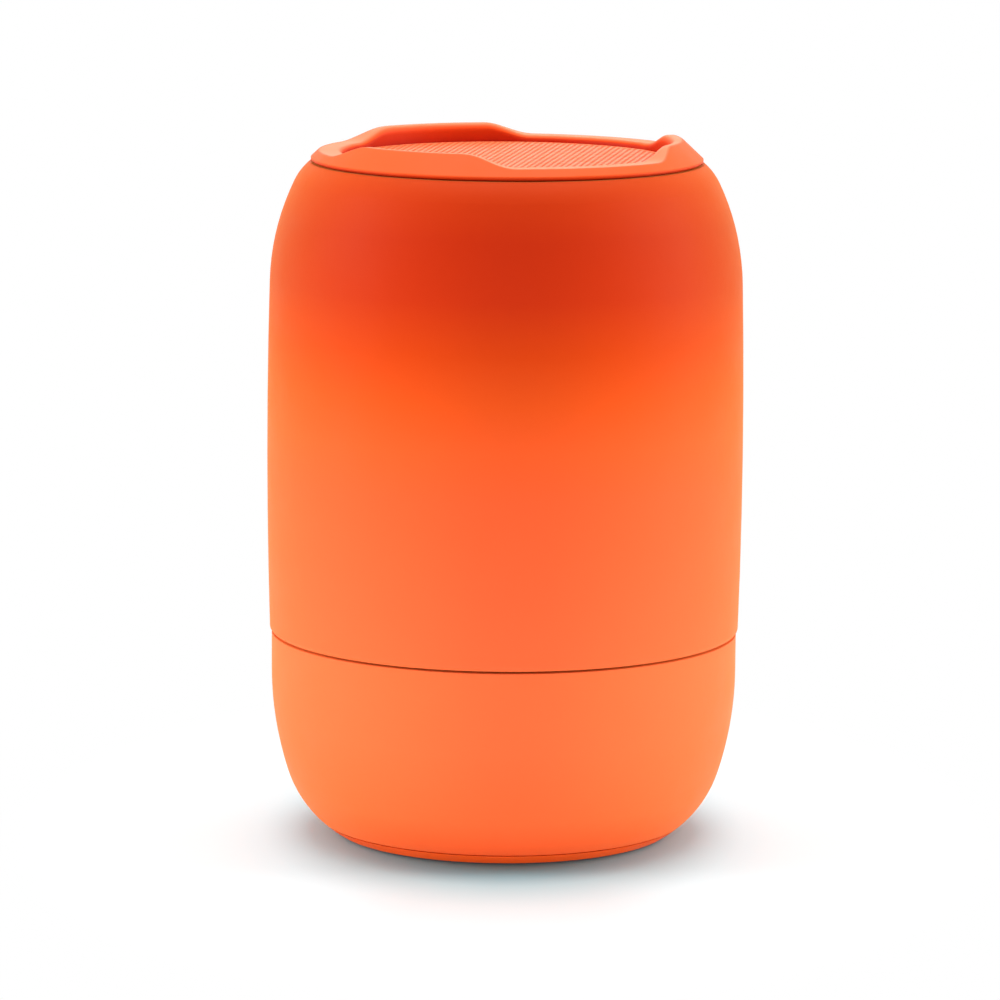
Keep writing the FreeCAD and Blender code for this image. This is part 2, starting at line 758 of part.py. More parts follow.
def make_yoke():
    pole = disc(former_r - magnet_gap, magnet_z0, basket_floor_z + 0.3)
    pole = pole.makeChamfer(0.4, [e for e in pole.Edges if e.BoundBox.ZMin > basket_floor_z])
    vent = disc(pole_vent_r, magnet_z0 - plate_t - 1, basket_floor_z + 1)
    return fuse(disc(plate_r, magnet_z0 - plate_t, magnet_z0), pole).cut(vent)


terminal_z = 110.0
terminal_h = 4.0
terminal_y = -25.6


def make_driver_terminal():
    bar = block(-4, 4, terminal_y, -basket_floor_r, terminal_z, terminal_z + terminal_h)
    basket = turned((0, basket_floor_z), (basket_floor_r, basket_floor_z), (basket_r, flange_z),
                    (0, flange_z))
    return bar.cut(basket)


# ---- bulkhead -----------------------------------------------------------------------------
def cup_post_turns():
    return (cup_post_turn, 180 - cup_post_turn, 180 + cup_post_turn, -cup_post_turn)


def board_boss_places():
    x = main_board_x - main_boss_edge
    y = main_board_y - main_boss_edge
    return [(sx * x, sy * y) for sx in (-1, 1) for sy in (-1, 1)]


cup_bore_r = cup_r - shell_wall
main_board_top = bulkhead_z - main_boss_h


def make_bulkhead():
    plate = disc(bulkhead_r, bulkhead_z, bulkhead_top)
    tongue = ring(cup_bore_r - fit_gap, cup_bore_r - fit_gap - tongue_t, bulkhead_z - tongue_h, bulkhead_z)
    added = [tongue]
    holes = [disc(grommet_r, bulkhead_z - 1, bulkhead_top + 1, 0, grommet_y)]
    for turn in cup_post_turns():
        x, y = polar(cup_post_circle_r, turn)
        added.append(disc(cup_post_r - 0.6, bulkhead_top, bulkhead_top + blind_boss_h, x, y))
        holes.append(disc(screw_r + thread_gap, bulkhead_z - 1, bulkhead_top + blind_boss_h - 1, x, y))
    for turn in quarter_turns(chamber_screw_turn):
        x, y = polar(chamber_screw_circle_r, turn)
        holes.append(disc(screw_hole_r, bulkhead_z - 1, bulkhead_top + 1, x, y))
    for x, y in board_boss_places():
        added.append(disc(main_boss_r, main_board_top, bulkhead_z, x, y))
        holes.append(disc(small_screw_r + thread_gap, main_board_top - 1, bulkhead_z + 1, x, y))
    for turn in (0, 90):
        rib = block(-cup_bore_r + 2, cup_bore_r - 2, -rib_t / 2, rib_t / 2, bulkhead_top,
                    bulkhead_top + rib_h)
        rib.rotate(V(0, 0, 0), UP, turn + chamber_screw_turn + 45)
        added.append(rib)
    return fuse(plate, *added).cut(Part.makeCompound(holes))


def make_bulkhead_screws():
    return Part.makeCompound([tapped_screw(*polar(chamber_screw_circle_r, turn), bulkhead_z,
                                           bulkhead_screw_len, screw_r, screw_head_r, screw_head_h)
                              for turn in quarter_turns(chamber_screw_turn)])


def make_housing_screws():
    length = bulkhead_top + blind_boss_h - screw_end_gap - counterbore_z
    return Part.makeCompound([tapped_screw(*polar(cup_post_circle_r, turn), counterbore_z, length, screw_r,
                                           screw_head_r, screw_head_h) for turn in cup_post_turns()])


def make_cable_grommet():
    hole_r = wire_spread + wire_r + wire_play
    lip = grommet_lip
    grommet = turned((grommet_r + lip, bulkhead_top + lip), (grommet_r + lip, bulkhead_top),
                     (grommet_r - thread_gap, bulkhead_top), (grommet_r - thread_gap, bulkhead_z),
                     (grommet_r + lip, bulkhead_z), (grommet_r + lip, bulkhead_z - lip),
                     (hole_r, bulkhead_z - lip), (hole_r, bulkhead_top + lip))
    grommet.translate(V(0, grommet_y, 0))
    return grommet


# ---- battery ------------------------------------------------------------------------------
cell_z = cup_floor_z + cradle_t + cell_r + thread_gap
lead_x = cell_len / 2 + lead_run


def make_battery_cell():
    can = Part.makeCylinder(cell_r, cell_len - cell_tip_h, V(-cell_len / 2, 0, cell_z), V(1, 0, 0))
    tip = Part.makeCylinder(cell_tip_r, cell_tip_h, V(cell_len / 2 - cell_tip_h, 0, cell_z), V(1, 0, 0))
    return fuse(can, tip)


def make_battery_cradle():
    """Trough with two spring clips that close over the cell's middle, and a stop at each end."""
    half = cell_len / 2 + fit_gap + cradle_stop_t
    pieces = [block(-half, half, -cradle_half_w, cradle_half_w, cup_floor_z, cell_z - cradle_half_w)]
    for side in (-1, 1):
        middle = side * clip_x
        pieces.append(block(middle - clip_w / 2, middle + clip_w / 2, -cell_r - clip_wall, cell_r + clip_wall,
                            cup_floor_z, cell_z + clip_rise))
        ends = sorted((side * half, side * (half - cradle_stop_t)))
        pieces.append(block(*ends, -cradle_half_w, cradle_half_w, cup_floor_z, cell_z - cradle_stop_drop))
    room = Part.makeCylinder(cell_r + thread_gap, cell_len, V(-cell_len / 2, 0, cell_z), V(1, 0, 0))
    cavity = cup_solid(shell_wall, cup_floor_z, cup_z1)
    return fuse(*pieces).cut(room).common(cavity)


def bent_wire(points, bend_r, radius):
    """Tube along straight runs in one plane, joined by tangent arcs."""
    places = [V(*p) for p in points]
    edges = []
    start = places[0]
    for before, corner, after in zip(places, places[1:], places[2:]):
        back = (before - corner).normalize()
        ahead = (after - corner).normalize()
        half = math.acos(max(-1.0, min(1.0, back.dot(ahead)))) / 2
        trim = bend_r / math.tan(half)
        middle = corner + (back + ahead).normalize() * (bend_r / math.sin(half) - bend_r)
        edges.append(Part.makeLine(start, corner + back * trim))
        edges.append(Part.Arc(corner + back * trim, middle, corner + ahead * trim).toShape())
        start = corner + ahead * trim
    edges.append(Part.makeLine(start, places[-1]))
    path = Part.Wire(edges)
    section = Part.Wire(Part.makeCircle(radius, places[0], places[1] - places[0]))
    return path.makePipeShell([section], True, False)


def make_battery_lead():
    y_places = (-wire_spread, wire_spread)
    top = main_board_top + wire_height
    return Part.makeCompound([bent_wire([(cell_len / 2, y, cell_z), (lead_x, y, cell_z), (lead_x, y, top),
                                         (main_board_x - plug_inset, y, top)], wire_bend_r, wire_r)
                              for y in y_places])


# ---- boards -------------------------------------------------------------------------------
main_board_z = main_board_top - board_t
board_front = control_board_y + board_t     # the side that faces the back wall
ribbon_x0 = ribbon_x - ribbon_half_w
ribbon_x1 = ribbon_x + ribbon_half_w
ribbon_z = main_board_z - ribbon_drop


def make_main_board():
    board = block(-main_board_x, main_board_x, -main_board_y, main_board_y, main_board_z, main_board_top)
    corners = [e for e in board.Edges if abs(e.BoundBox.ZLength - board_t) < 1e-6]
    board = board.makeFillet(board_corner_r, corners)
    return board.cut(Part.makeCompound([disc(small_hole_r, main_board_z - 1, main_board_top + 1, x, y)
                                        for x, y in board_boss_places()]))


def make_board_screws():
    return Part.makeCompound([tapped_screw(x, y, main_board_z, board_screw_len, small_screw_r, small_head_r,
                                           small_head_h) for x, y in board_boss_places()])


def make_amplifier_chip():
    return block(amp_x - amp_half, amp_x + amp_half, -amp_half, amp_half, main_board_top,
                 main_board_top + amp_h)


def make_bluetooth_module():
    x0 = module_x - module_half_w
    x1 = module_x + module_half_w
    can_z = main_board_top + module_t
    carrier = block(x0, x1, -module_half_l, module_half_l, main_board_top, can_z)
    can = block(x0 + module_can_edge, x1 - module_can_edge, -module_half_l / 2,
                module_half_l - module_can_edge, can_z, can_z + module_can_h)
    return fuse(carrier, can)


def make_capacitors():
    return Part.makeCompound([disc(capacitor_r, main_board_z - capacitor_h, main_board_z,
                                   capacitor_x + side * capacitor_pitch, capacitor_y) for side in (-1, 0, 1)])


def make_inductors():
    coils = []
    for side in (-1, 1):
        y = inductor_y + side * inductor_pitch / 2
        coil = block(inductor_x - inductor_half, inductor_x + inductor_half, y - inductor_half,
                     y + inductor_half, main_board_top, main_board_top + inductor_h)
        corners = [e for e in coil.Edges if abs(e.BoundBox.ZLength - inductor_h) < 1e-6]
        coils.append(coil.makeFillet(inductor_round, corners))
    return Part.makeCompound(coils)


def make_board_connectors():
    """Battery and speaker plugs on the main board, and the ribbon's two sockets."""
    battery = block(main_board_x - plug_inset - plug_deep, main_board_x - plug_inset, -plug_half, plug_half,
                    main_board_top, main_board_top + plug_h)
    speaker = block(-plug_half, plug_half, -main_board_y, plug_deep - main_board_y - 1,
                    main_board_top, main_board_top + plug_h)
    x0 = ribbon_x0 - ribbon_socket_edge
    x1 = ribbon_x1 + ribbon_socket_edge
    main_ribbon = block(x0, x1, main_board_y - ribbon_socket_edge / 2 - side_ribbon_h,
                        main_board_y - ribbon_socket_edge / 2, main_board_z - 2 * ribbon_drop, main_board_z)
    side_ribbon = block(x0, x1, control_board_y - side_ribbon_t, control_board_y,
                        side_ribbon_z, side_ribbon_z + side_ribbon_h)
    return Part.makeCompound([battery, speaker, main_ribbon, side_ribbon])


def make_speaker_cable():
    wall_y = cable_inset - drum_r
    start = terminal_z + terminal_h / 2
    end = main_board_top + wire_height
    upper_bend_z = bulkhead_top + cable_upper_bend
    lower_bend_z = bulkhead_top + cable_lower_bend
    wires = []
    for x in (-wire_spread, wire_spread):
        route = [(x, terminal_y, start), (x, wall_y, start), (x, wall_y, upper_bend_z),
                 (x, grommet_y, lower_bend_z), (x, grommet_y, end), (x, -main_board_y, end)]
        wires.append(bent_wire(route, wire_bend_r, wire_r))
    return Part.makeCompound(wires)


def make_ribbon_cable():
    """Flat strip that rises from the control board and bends forward to the main board."""
    thick = ribbon_t
    bend = ribbon_bend_r
    y0 = control_board_y - side_ribbon_t / 2
    y1 = main_board_y - ribbon_socket_edge / 2
    z0 = side_ribbon_z + side_ribbon_h
    hub = V(0, y0 - thick - bend, ribbon_z - bend)
    inner, outer = [[hub + V(0, r * math.cos(a), r * math.sin(a)) for a in (0, math.pi / 4, math.pi / 2)]
                    for r in (bend, bend + thick)]
    edges = [Part.makeLine(V(0, y0, z0), V(0, y0 - thick, z0)), Part.makeLine(V(0, y0 - thick, z0), inner[0]),
             Part.Arc(*inner).toShape(), Part.makeLine(inner[2], V(0, y1, ribbon_z)),
             Part.makeLine(V(0, y1, ribbon_z), V(0, y1, ribbon_z + thick)),
             Part.makeLine(V(0, y1, ribbon_z + thick), outer[2]), Part.Arc(*outer[::-1]).toShape(),
             Part.makeLine(outer[0], V(0, y0, z0))]
    strip = Part.Face(Part.Wire(edges)).extrude(V(ribbon_x1 - ribbon_x0, 0, 0))
    strip.translate(V(ribbon_x0, 0, 0))
    return strip


def stand_places():
    x = control_board_x - control_stand_edge
    return [(side * x, port_z - control_stand_drop) for side in (-1, 1)]


def make_control_board():
    board = block(-control_board_x, control_board_x, control_board_y, board_front,
                  control_board_z0, control_board_z1)
    holes = [peg(small_hole_r, x, z, control_board_y - 1, board_front + 1) for x, z in stand_places()]
    holes.append(peg(jack_r + slide_gap, jack_x, port_z, control_board_y - 1, board_front + 1))
    return board.cut(Part.makeCompound(holes))


def make_control_screws():
    screws = []
    for x, z in stand_places():
        head = peg(small_head_r, x, z, control_board_y - small_head_h, control_board_y)
        shank = peg(small_screw_r, x, z, control_board_y, control_board_y + control_screw_len)
        screws.append(head.fuse(shank))
    return Part.makeCompound(screws)


def make_usb_socket():
    """Steel shell with a tongue down the middle of its mouth."""
    wall = 0.3
    shell = usb_prism(0, board_front, pocket_floor_y)
    mouth = usb_prism(-wall, board_front + 1.0, pocket_floor_y + 1)
    tongue = block(usb_x - 3.3, usb_x + 3.3, board_front + 0.5, pocket_floor_y - 0.6,
                   port_z - 0.35, port_z + 0.35)
    return fuse(shell.cut(mouth), tongue)


def make_audio_jack():
    body = peg(jack_r, jack_x, port_z, pocket_floor_y - jack_len, pocket_floor_y)
    return body.cut(peg(jack_bore_r, jack_x, port_z, pocket_floor_y - jack_len + 1, pocket_floor_y + 1))


def make_status_led():
    return block(light_x - 0.8, light_x + 0.8, board_front, board_front + 1.1, light_z - 0.8, light_z + 0.8)


def make_light_pipe():
    pipe = peg(light_pipe_r, light_x, light_z, board_front + 1.2, cup_r + 1)
    return pipe.common(cup_solid(0, cup_floor_z, cup_z1))


def make_microphone():
    return block(-light_x - 1.5, -light_x + 1.5, board_front, board_front + 1.0, light_z - 1.0, light_z + 1.0)


def make_mic_boot():
    boot = peg(mic_boot_r, -light_x, light_z, board_front + 1.0, cup_r)
    boot = boot.cut(peg(mic_hole_r, -light_x, light_z, board_front, cup_r + 1))
    return boot.common(cup_solid(shell_wall + 0.1, cup_floor_z, cup_z1))


# ---- buttons ------------------------------------------------------------------------------
switch_top = board_front + switch_h
plunger_top = switch_top + plunger_h


def make_tact_switches():
    bodies = []
    for x in button_places():
        body = block(x - switch_half, x + switch_half, board_front, switch_top,
                     button_z - switch_half, button_z + switch_half)
        well_y = switch_top - plunger_in - button_travel - fit_gap
        well = peg(plunger_r + 0.1, x, button_z, well_y, switch_top + 1)
        bodies.append(body.cut(well))
    return Part.makeCompound(bodies)


def make_plunger(x):
    return peg(plunger_r, x, button_z, switch_top - plunger_in, plunger_top)


def make_button(x):
    """Key with a curved face, a lip behind the wall that keeps it in, and a stem to its switch."""
    inside = cup_solid(shell_wall + slide_gap + button_lip_t, cup_floor_z, cup_z1 + 1)
    behind_wall = cup_solid(shell_wall + slide_gap, cup_floor_z, cup_z1 + 1)
    key = button_prism(button_half_w, button_half_h, x, board_front, cup_r + 2, button_corner_r)
    key = key.common(cup_solid(-button_proud, cup_floor_z, cup_z1 + 1)).cut(inside)
    lip = button_prism(button_half_w + button_lip, button_half_h + button_lip, x, board_front, cup_r + 2,
                       button_corner_r + button_lip / 2)
    lip = lip.common(behind_wall).cut(inside)
    stem = peg(button_stem_r, x, button_z, plunger_top, cup_r).common(behind_wall)
    return fuse(key, lip, stem)


# ---- flap over the sockets ----------------------------------------------------------------
flap_z0 = pocket_z0 + anchor_t + hinge_gap
flap_axis_z = flap_z0 + flap_t / 2
flap_axis_y = cup_skin.radius_at(flap_axis_z) - flap_t / 2


def make_flap_anchor():
    """Root strip of the flap, held in the bottom of the pocket."""
    skin = cup_solid(0, base_seam_z, cup_z1).cut(cup_solid(shell_wall, base_seam_z, cup_z1 + 1))
    return skin.common(block(-pocket_x + 0.1, pocket_x - 0.1, pocket_floor_y - 5, cup_r + 1,
                             pocket_z0 + 0.1, pocket_z0 + anchor_t))


def make_port_flap():
    half = pocket_x - fit_gap
    top = pocket_z1 - fit_gap
    skin = cup_solid(0, base_seam_z, cup_z1)
    plate = skin.cut(cup_solid(flap_t, base_seam_z, cup_z1 + 1))
    plate = plate.common(block(-half, half, pocket_floor_y - 5, cup_r + 1, flap_z0, top))
    lower_outer = [e for e in plate.Edges if abs(e.BoundBox.ZMax - flap_z0) < 1e-6
                   and e.BoundBox.YMax > flap_axis_y + flap_t / 4]
    plate = plate.makeFillet(flap_t / 2 - 0.1, lower_outer)
    rim_x = half - flap_plug_inset
    rim_z0 = flap_z0 + flap_plug_low
    rim_z1 = top - flap_plug_inset
    seal = cup_solid(flap_t / 2, base_seam_z, cup_z1)
    seal = seal.cut(cup_solid(flap_t + flap_plug_t, base_seam_z, cup_z1 + 1))
    seal = seal.common(block(-rim_x, rim_x, pocket_floor_y, cup_r, rim_z0, rim_z1))
    room = block(-rim_x + flap_plug_rim, rim_x - flap_plug_rim, pocket_floor_y - 1, cup_r + 1,
                 rim_z0 + flap_plug_rim, rim_z1 - flap_plug_rim)
    seal = seal.cut(room.common(cup_solid(flap_t, base_seam_z, cup_z1)))
    return fuse(plate, seal)


# ---- all nodes ----------------------------------------------------------------------------
def make_grille_cloth():
    return disc(rim_bore_r - grille_edge_gap, ledge_z, ledge_z + cloth_t)


def make_seam_gasket():
    return ring(bulkhead_r, bulkhead_r - gasket_w, bulkhead_top, gasket_top)


def make_coil_former():
    return ring(neck_r, former_r, former_z0, former_z0 + former_h)


def make_voice_coil():
    return ring(coil_r, neck_r, coil_middle_z - winding_h / 2, coil_middle_z + winding_h / 2)


def make_top_plate():
    return ring(plate_r, plate_bore_r, magnet_z1, basket_floor_z)


def make_ring_magnet():
    return ring(magnet_r, magnet_bore_r, magnet_z0, magnet_z1)


NODES = {
    "upper_housing": make_upper_housing, "lower_housing": make_lower_housing,
    "base_cap": make_base_cap, "foot_pad": make_foot_pad,
    "crown_ring": make_crown_ring, "top_grille": make_top_grille, "grille_cloth": make_grille_cloth,
    "driver_frame": make_driver_frame, "driver_gasket": make_driver_gasket,
    "driver_screws": make_driver_screws, "cone_surround": make_surround,
    "speaker_cone": make_speaker_cone, "dust_cap": make_dust_cap, "coil_former": make_coil_former,
    "voice_coil": make_voice_coil, "spider": make_spider, "top_plate": make_top_plate,
    "ring_magnet": make_ring_magnet, "yoke": make_yoke, "driver_terminal": make_driver_terminal,
    "bulkhead": make_bulkhead, "seam_gasket": make_seam_gasket, "bulkhead_screws": make_bulkhead_screws,
    "housing_screws": make_housing_screws, "cable_grommet": make_cable_grommet,
    "battery_cell": make_battery_cell, "battery_cradle": make_battery_cradle,
    "battery_lead": make_battery_lead, "speaker_cable": make_speaker_cable,
    "ribbon_cable": make_ribbon_cable, "main_board": make_main_board, "board_screws": make_board_screws,
    "amplifier_chip": make_amplifier_chip, "bluetooth_module": make_bluetooth_module,
    "capacitors": make_capacitors, "inductors": make_inductors, "board_connectors": make_board_connectors,
    "control_board": make_control_board, "control_screws": make_control_screws,
    "usb_socket": make_usb_socket, "audio_jack": make_audio_jack, "status_led": make_status_led,
    "light_pipe": make_light_pipe, "microphone": make_microphone, "mic_boot": make_mic_boot,
    "tact_switches": make_tact_switches, "flap_anchor": make_flap_anchor, "port_flap": make_port_flap,
}

os.makedirs("parts", exist_ok=True)
shapes = {name: make() for name, make in NODES.items()}
for name, x in zip(BUTTONS, button_places()):
    shapes[name + "_button"] = make_button(x)
    shapes[name + "_plunger"] = make_plunger(x)
for name, shape in shapes.items():
    shape.exportStep("parts/" + name + ".step")
print("flap axis y z", round(flap_axis_y, 4), round(flap_axis_z, 4))
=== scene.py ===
import math
import bmesh
import bpy
from mathutils import Matrix, Vector
from mathutils.bvhtree import BVHTree


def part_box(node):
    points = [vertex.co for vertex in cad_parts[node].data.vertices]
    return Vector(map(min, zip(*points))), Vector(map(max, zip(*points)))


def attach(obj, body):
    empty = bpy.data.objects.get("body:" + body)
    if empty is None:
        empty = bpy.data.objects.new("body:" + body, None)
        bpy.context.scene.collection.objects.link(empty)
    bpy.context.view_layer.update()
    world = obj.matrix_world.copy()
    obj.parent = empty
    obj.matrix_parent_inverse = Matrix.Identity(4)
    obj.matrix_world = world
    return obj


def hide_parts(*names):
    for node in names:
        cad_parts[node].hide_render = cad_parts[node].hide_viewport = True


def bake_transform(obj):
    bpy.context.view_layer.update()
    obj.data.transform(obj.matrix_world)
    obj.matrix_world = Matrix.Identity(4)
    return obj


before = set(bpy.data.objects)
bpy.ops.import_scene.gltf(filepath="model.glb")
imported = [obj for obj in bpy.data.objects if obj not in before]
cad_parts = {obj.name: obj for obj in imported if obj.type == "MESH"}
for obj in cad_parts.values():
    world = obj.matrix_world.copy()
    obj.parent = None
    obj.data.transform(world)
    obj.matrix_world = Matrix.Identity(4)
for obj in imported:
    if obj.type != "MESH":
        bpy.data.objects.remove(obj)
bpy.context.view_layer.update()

MM = 0.001

# ---- Foot and base cap --------------------------------------------------------------------
# A black silicone disc glued into the underside of an orange moulded cap, with an even spark-
# eroded grain on the cap and a fine haze of dust and scuffs on the rubber.


def new_finish(name, colour, roughness, specular=0.5, metallic=0.0):
    """Material with one shader, and the place on the part that its patterns follow."""
    material = bpy.data.materials.new(name)
    material.use_nodes = True
    shader = material.node_tree.nodes["Principled BSDF"]
    shader.inputs["Base Color"].default_value = (*colour, 1.0)
    shader.inputs["Roughness"].default_value = roughness
    shader.inputs["Specular IOR Level"].default_value = specular
    shader.inputs["Metallic"].default_value = metallic
    place = material.node_tree.nodes.new("ShaderNodeTexCoord")
    return material, shader, place.outputs["Object"]


def noise(shader, place, size, detail=2.0, stretch=(1.0, 1.0, 1.0)):
    """Cloudy pattern whose blobs are about size metres across."""
    tree = shader.id_data
    mapping = tree.nodes.new("ShaderNodeMapping")
    mapping.inputs["Scale"].default_value = stretch
    cloud = tree.nodes.new("ShaderNodeTexNoise")
    cloud.inputs["Scale"].default_value = 1.0 / size
    cloud.inputs["Detail"].default_value = detail
    tree.links.new(place, mapping.inputs["Vector"])
    tree.links.new(mapping.outputs["Vector"], cloud.inputs["Vector"])
    return cloud.outputs["Fac"]


def texture(shader, height, depth):
    """Raises the surface by depth metres where height is 1."""
    tree = shader.id_data
    bump = tree.nodes.new("ShaderNodeBump")
    bump.inputs["Strength"].default_value = 1.0
    bump.inputs["Distance"].default_value = depth
    tree.links.new(height, bump.inputs["Height"])
    tree.links.new(bump.outputs["Normal"], shader.inputs["Normal"])
    return bump


def spread(tree, value, low, high, first=0.0, last=1.0, smooth=False):
    """Turns a value between low and high into one between first and last."""
    span = tree.nodes.new("ShaderNodeMapRange")
    span.interpolation_type = "SMOOTHSTEP" if smooth else "LINEAR"
    span.inputs["From Min"].default_value = low
    span.inputs["From Max"].default_value = high
    span.inputs["To Min"].default_value = first
    span.inputs["To Max"].default_value = last
    tree.links.new(value, span.inputs["Value"])
    return span.outputs["Result"]


def between(shader, pattern, socket, low, high):
    """Lets the middle of a pattern move one of the shader's sliders between two values."""
    tree = shader.id_data
    tree.links.new(spread(tree, pattern, 0.3, 0.7, low, high), shader.inputs[socket])


def shades(tree, pattern, stops):
    """Colour along (share, colour) stops of a pattern."""
    ramp = tree.nodes.new("ShaderNodeValToRGB")
    band = ramp.color_ramp
    while len(band.elements) < len(stops):
        band.elements.new(0.5)
    for element, (share, colour) in zip(band.elements, stops):
        element.position = share
        element.color = (*colour, 1.0)
    tree.links.new(pattern, ramp.inputs["Fac"])
    return ramp.outputs["Color"]


def colours(shader, pattern, *stops):
    """Colours the surface along (share, colour) stops of a pattern."""
    tree = shader.id_data
    tree.links.new(shades(tree, pattern, stops), shader.inputs["Base Color"])


def dress(material, *names):
    """Gives CAD nodes a finish."""
    for name in names:
        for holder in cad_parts[name].material_slots:
            holder.material = material


foot_rubber, shader, place = new_finish("foot_rubber", (0.018, 0.018, 0.019), 0.8, 0.3)
dust = noise(shader, place, 0.006, 6.0)
colours(shader, dust, (0.35, (0.014, 0.014, 0.015)), (0.75, (0.035, 0.034, 0.033)))
between(shader, dust, "Roughness", 0.72, 0.92)
texture(shader, noise(shader, place, 0.0004, 3.0), 0.00008)
dress(foot_rubber, "foot_pad")

base_plastic, shader, place = new_finish("base_plastic", (1.0, 0.15, 0.016), 0.5, 0.10)
colours(shader, noise(shader, place, 0.02), (0.3, (0.99, 0.145, 0.014)), (0.7, (1.0, 0.155, 0.018)))
between(shader, noise(shader, place, 0.004, 4.0), "Roughness", 0.44, 0.58)
texture(shader, noise(shader, place, 0.0005, 4.0), 0.00004)
dress(base_plastic, "base_cap")

# ---- Cup ----------------------------------------------------------------------------------
# Lower housing, injection moulded in ABS and sprayed with a soft-touch coat in the light shade.
# The coat is silky, with a faint white bloom where light grazes it and a very fine orange peel.


def soft_touch(shader, place, sheen):
    """Silky sprayed coat: orange peel, fine grit, uneven gloss and a bloom at grazing light."""
    tree = shader.id_data
    shader.inputs["Sheen Weight"].default_value = sheen
    shader.inputs["Sheen Roughness"].default_value = 0.6
    shader.inputs["Sheen Tint"].default_value = (1.0, 0.68, 0.16, 1.0)
    between(shader, noise(shader, place, 0.009, 3.0), "Roughness", 0.48, 0.58)
    peel = texture(shader, noise(shader, place, 0.0016, 2.0), 0.00002)
    grit = tree.nodes.new("ShaderNodeBump")
    grit.inputs["Strength"].default_value = 0.6
    grit.inputs["Distance"].default_value = 0.00002
    tree.links.new(noise(shader, place, 0.00025, 2.0), grit.inputs["Height"])
    tree.links.new(peel.outputs["Normal"], grit.inputs["Normal"])
    tree.links.new(grit.outputs["Normal"], shader.inputs["Normal"])


def by_height(shader, place, low, high):
    """0 to 1 as the part rises from one level to another, in metres."""
    tree = shader.id_data
    parts = tree.nodes.new("ShaderNodeSeparateXYZ")
    tree.links.new(place, parts.inputs["Vector"])
    return spread(tree, parts.outputs["Z"], low, high)


seam_z = 39 * MM
cup_coating, shader, place = new_finish("cup_coating", (0.99, 0.165, 0.044), 0.52, 0.10)
# Painted shade: the colour is painted darker and redder over the lowest quarter of the cup, towards the
# bench.
colours(shader, by_height(shader, place, 0.0, seam_z),
        (0.0, (0.97, 0.090, 0.018)), (0.12, (0.99, 0.116, 0.026)), (0.25, (0.99, 0.142, 0.036)),
        (0.6, (1.0, 0.154, 0.044)), (1.0, (1.0, 0.150, 0.042)))
soft_touch(shader, place, 0.3)
dress(cup_coating, "lower_housing")

# ---- Battery ------------------------------------------------------------------------------
# One 18 by 65 mm lithium cell in a blue shrink sleeve, clipped into a black trough. Two PVC
# wires lead from its end to the main board.
cell_wrap, shader, place = new_finish("cell_wrap", (0.05, 0.16, 0.45), 0.3, 0.5)
colours(shader, noise(shader, place, 0.01), (0.3, (0.045, 0.15, 0.42)), (0.7, (0.06, 0.18, 0.48)))
between(shader, noise(shader, place, 0.003, 3.0), "Roughness", 0.22, 0.38)
texture(shader, noise(shader, place, 0.004, 2.0, (0.2, 1.0, 1.0)), 0.00008)
dress(cell_wrap, "battery_cell")

chassis_plastic, shader, place = new_finish("chassis_plastic", (0.022, 0.022, 0.024), 0.55, 0.4)
colours(shader, noise(shader, place, 0.015), (0.3, (0.018, 0.018, 0.020)), (0.7, (0.030, 0.030, 0.032)))
between(shader, noise(shader, place, 0.002, 3.0), "Roughness", 0.48, 0.64)
texture(shader, noise(shader, place, 0.0005, 4.0), 0.00005)
dress(chassis_plastic, "battery_cradle", "bulkhead")

wire_pvc, shader, place = new_finish("wire_pvc", (0.35, 0.015, 0.012), 0.38, 0.5)
between(shader, noise(shader, place, 0.002, 2.0), "Roughness", 0.32, 0.46)
colours(shader, noise(shader, place, 0.01), (0.3, (0.30, 0.012, 0.010)), (0.7, (0.40, 0.018, 0.014)))
texture(shader, noise(shader, place, 0.0008, 2.0), 0.00002)
dress(wire_pvc, "battery_lead", "speaker_cable")

# ---- Boards -------------------------------------------------------------------------------
# Two green fibreglass boards with etched tracks under the mask: the main one hangs from the
# bulkhead, the small one stands behind the keys, and a film ribbon joins them.
track_length = 3.2 * MM
track_step = 2.1 * MM


def etched_board(name, across):
    """Solder mask over copper tracks on a fine grid; across turns the grid into the board's plane."""
    material, shader, place = new_finish(name, (0.008, 0.09, 0.035), 0.28, 0.5)
    tree = shader.id_data
    turn = tree.nodes.new("ShaderNodeMapping")
    turn.inputs["Rotation"].default_value = across
    turn.inputs["Scale"].default_value = (1 / track_length, 1 / track_step, 1.0)
    tracks = tree.nodes.new("ShaderNodeTexBrick")
    tracks.inputs["Color1"].default_value = (0.008, 0.085, 0.032, 1.0)
    tracks.inputs["Color2"].default_value = (0.010, 0.105, 0.040, 1.0)
    tracks.inputs["Mortar"].default_value = (0.020, 0.17, 0.06, 1.0)
    tracks.inputs["Scale"].default_value = 1.0
    tracks.inputs["Mortar Size"].default_value = 0.07
    tree.links.new(place, turn.inputs["Vector"])
    tree.links.new(turn.outputs["Vector"], tracks.inputs["Vector"])
    tree.links.new(tracks.outputs["Color"], shader.inputs["Base Color"])
    texture(shader, tracks.outputs["Fac"], 0.00003)
    between(shader, noise(shader, place, 0.006, 3.0), "Roughness", 0.22, 0.36)
    return material


dress(etched_board("main_laminate", (0.0, 0.0, 0.0)), "main_board")
dress(etched_board("side_laminate", (math.radians(90), 0.0, 0.0)), "control_board")

ribbon_film, shader, place = new_finish("ribbon_film", (0.75, 0.74, 0.70), 0.32, 0.5)
cores = shader.id_data.nodes.new("ShaderNodeTexWave")
cores.bands_direction = "X"
cores.inputs["Scale"].default_value = 320.0
shader.id_data.links.new(place, cores.inputs["Vector"])
colours(shader, cores.outputs["Fac"], (0.25, (0.80, 0.79, 0.75)), (0.75, (0.52, 0.52, 0.53)))
texture(shader, cores.outputs["Fac"], 0.00005)
between(shader, noise(shader, place, 0.004), "Roughness", 0.26, 0.40)
dress(ribbon_film, "ribbon_cable")

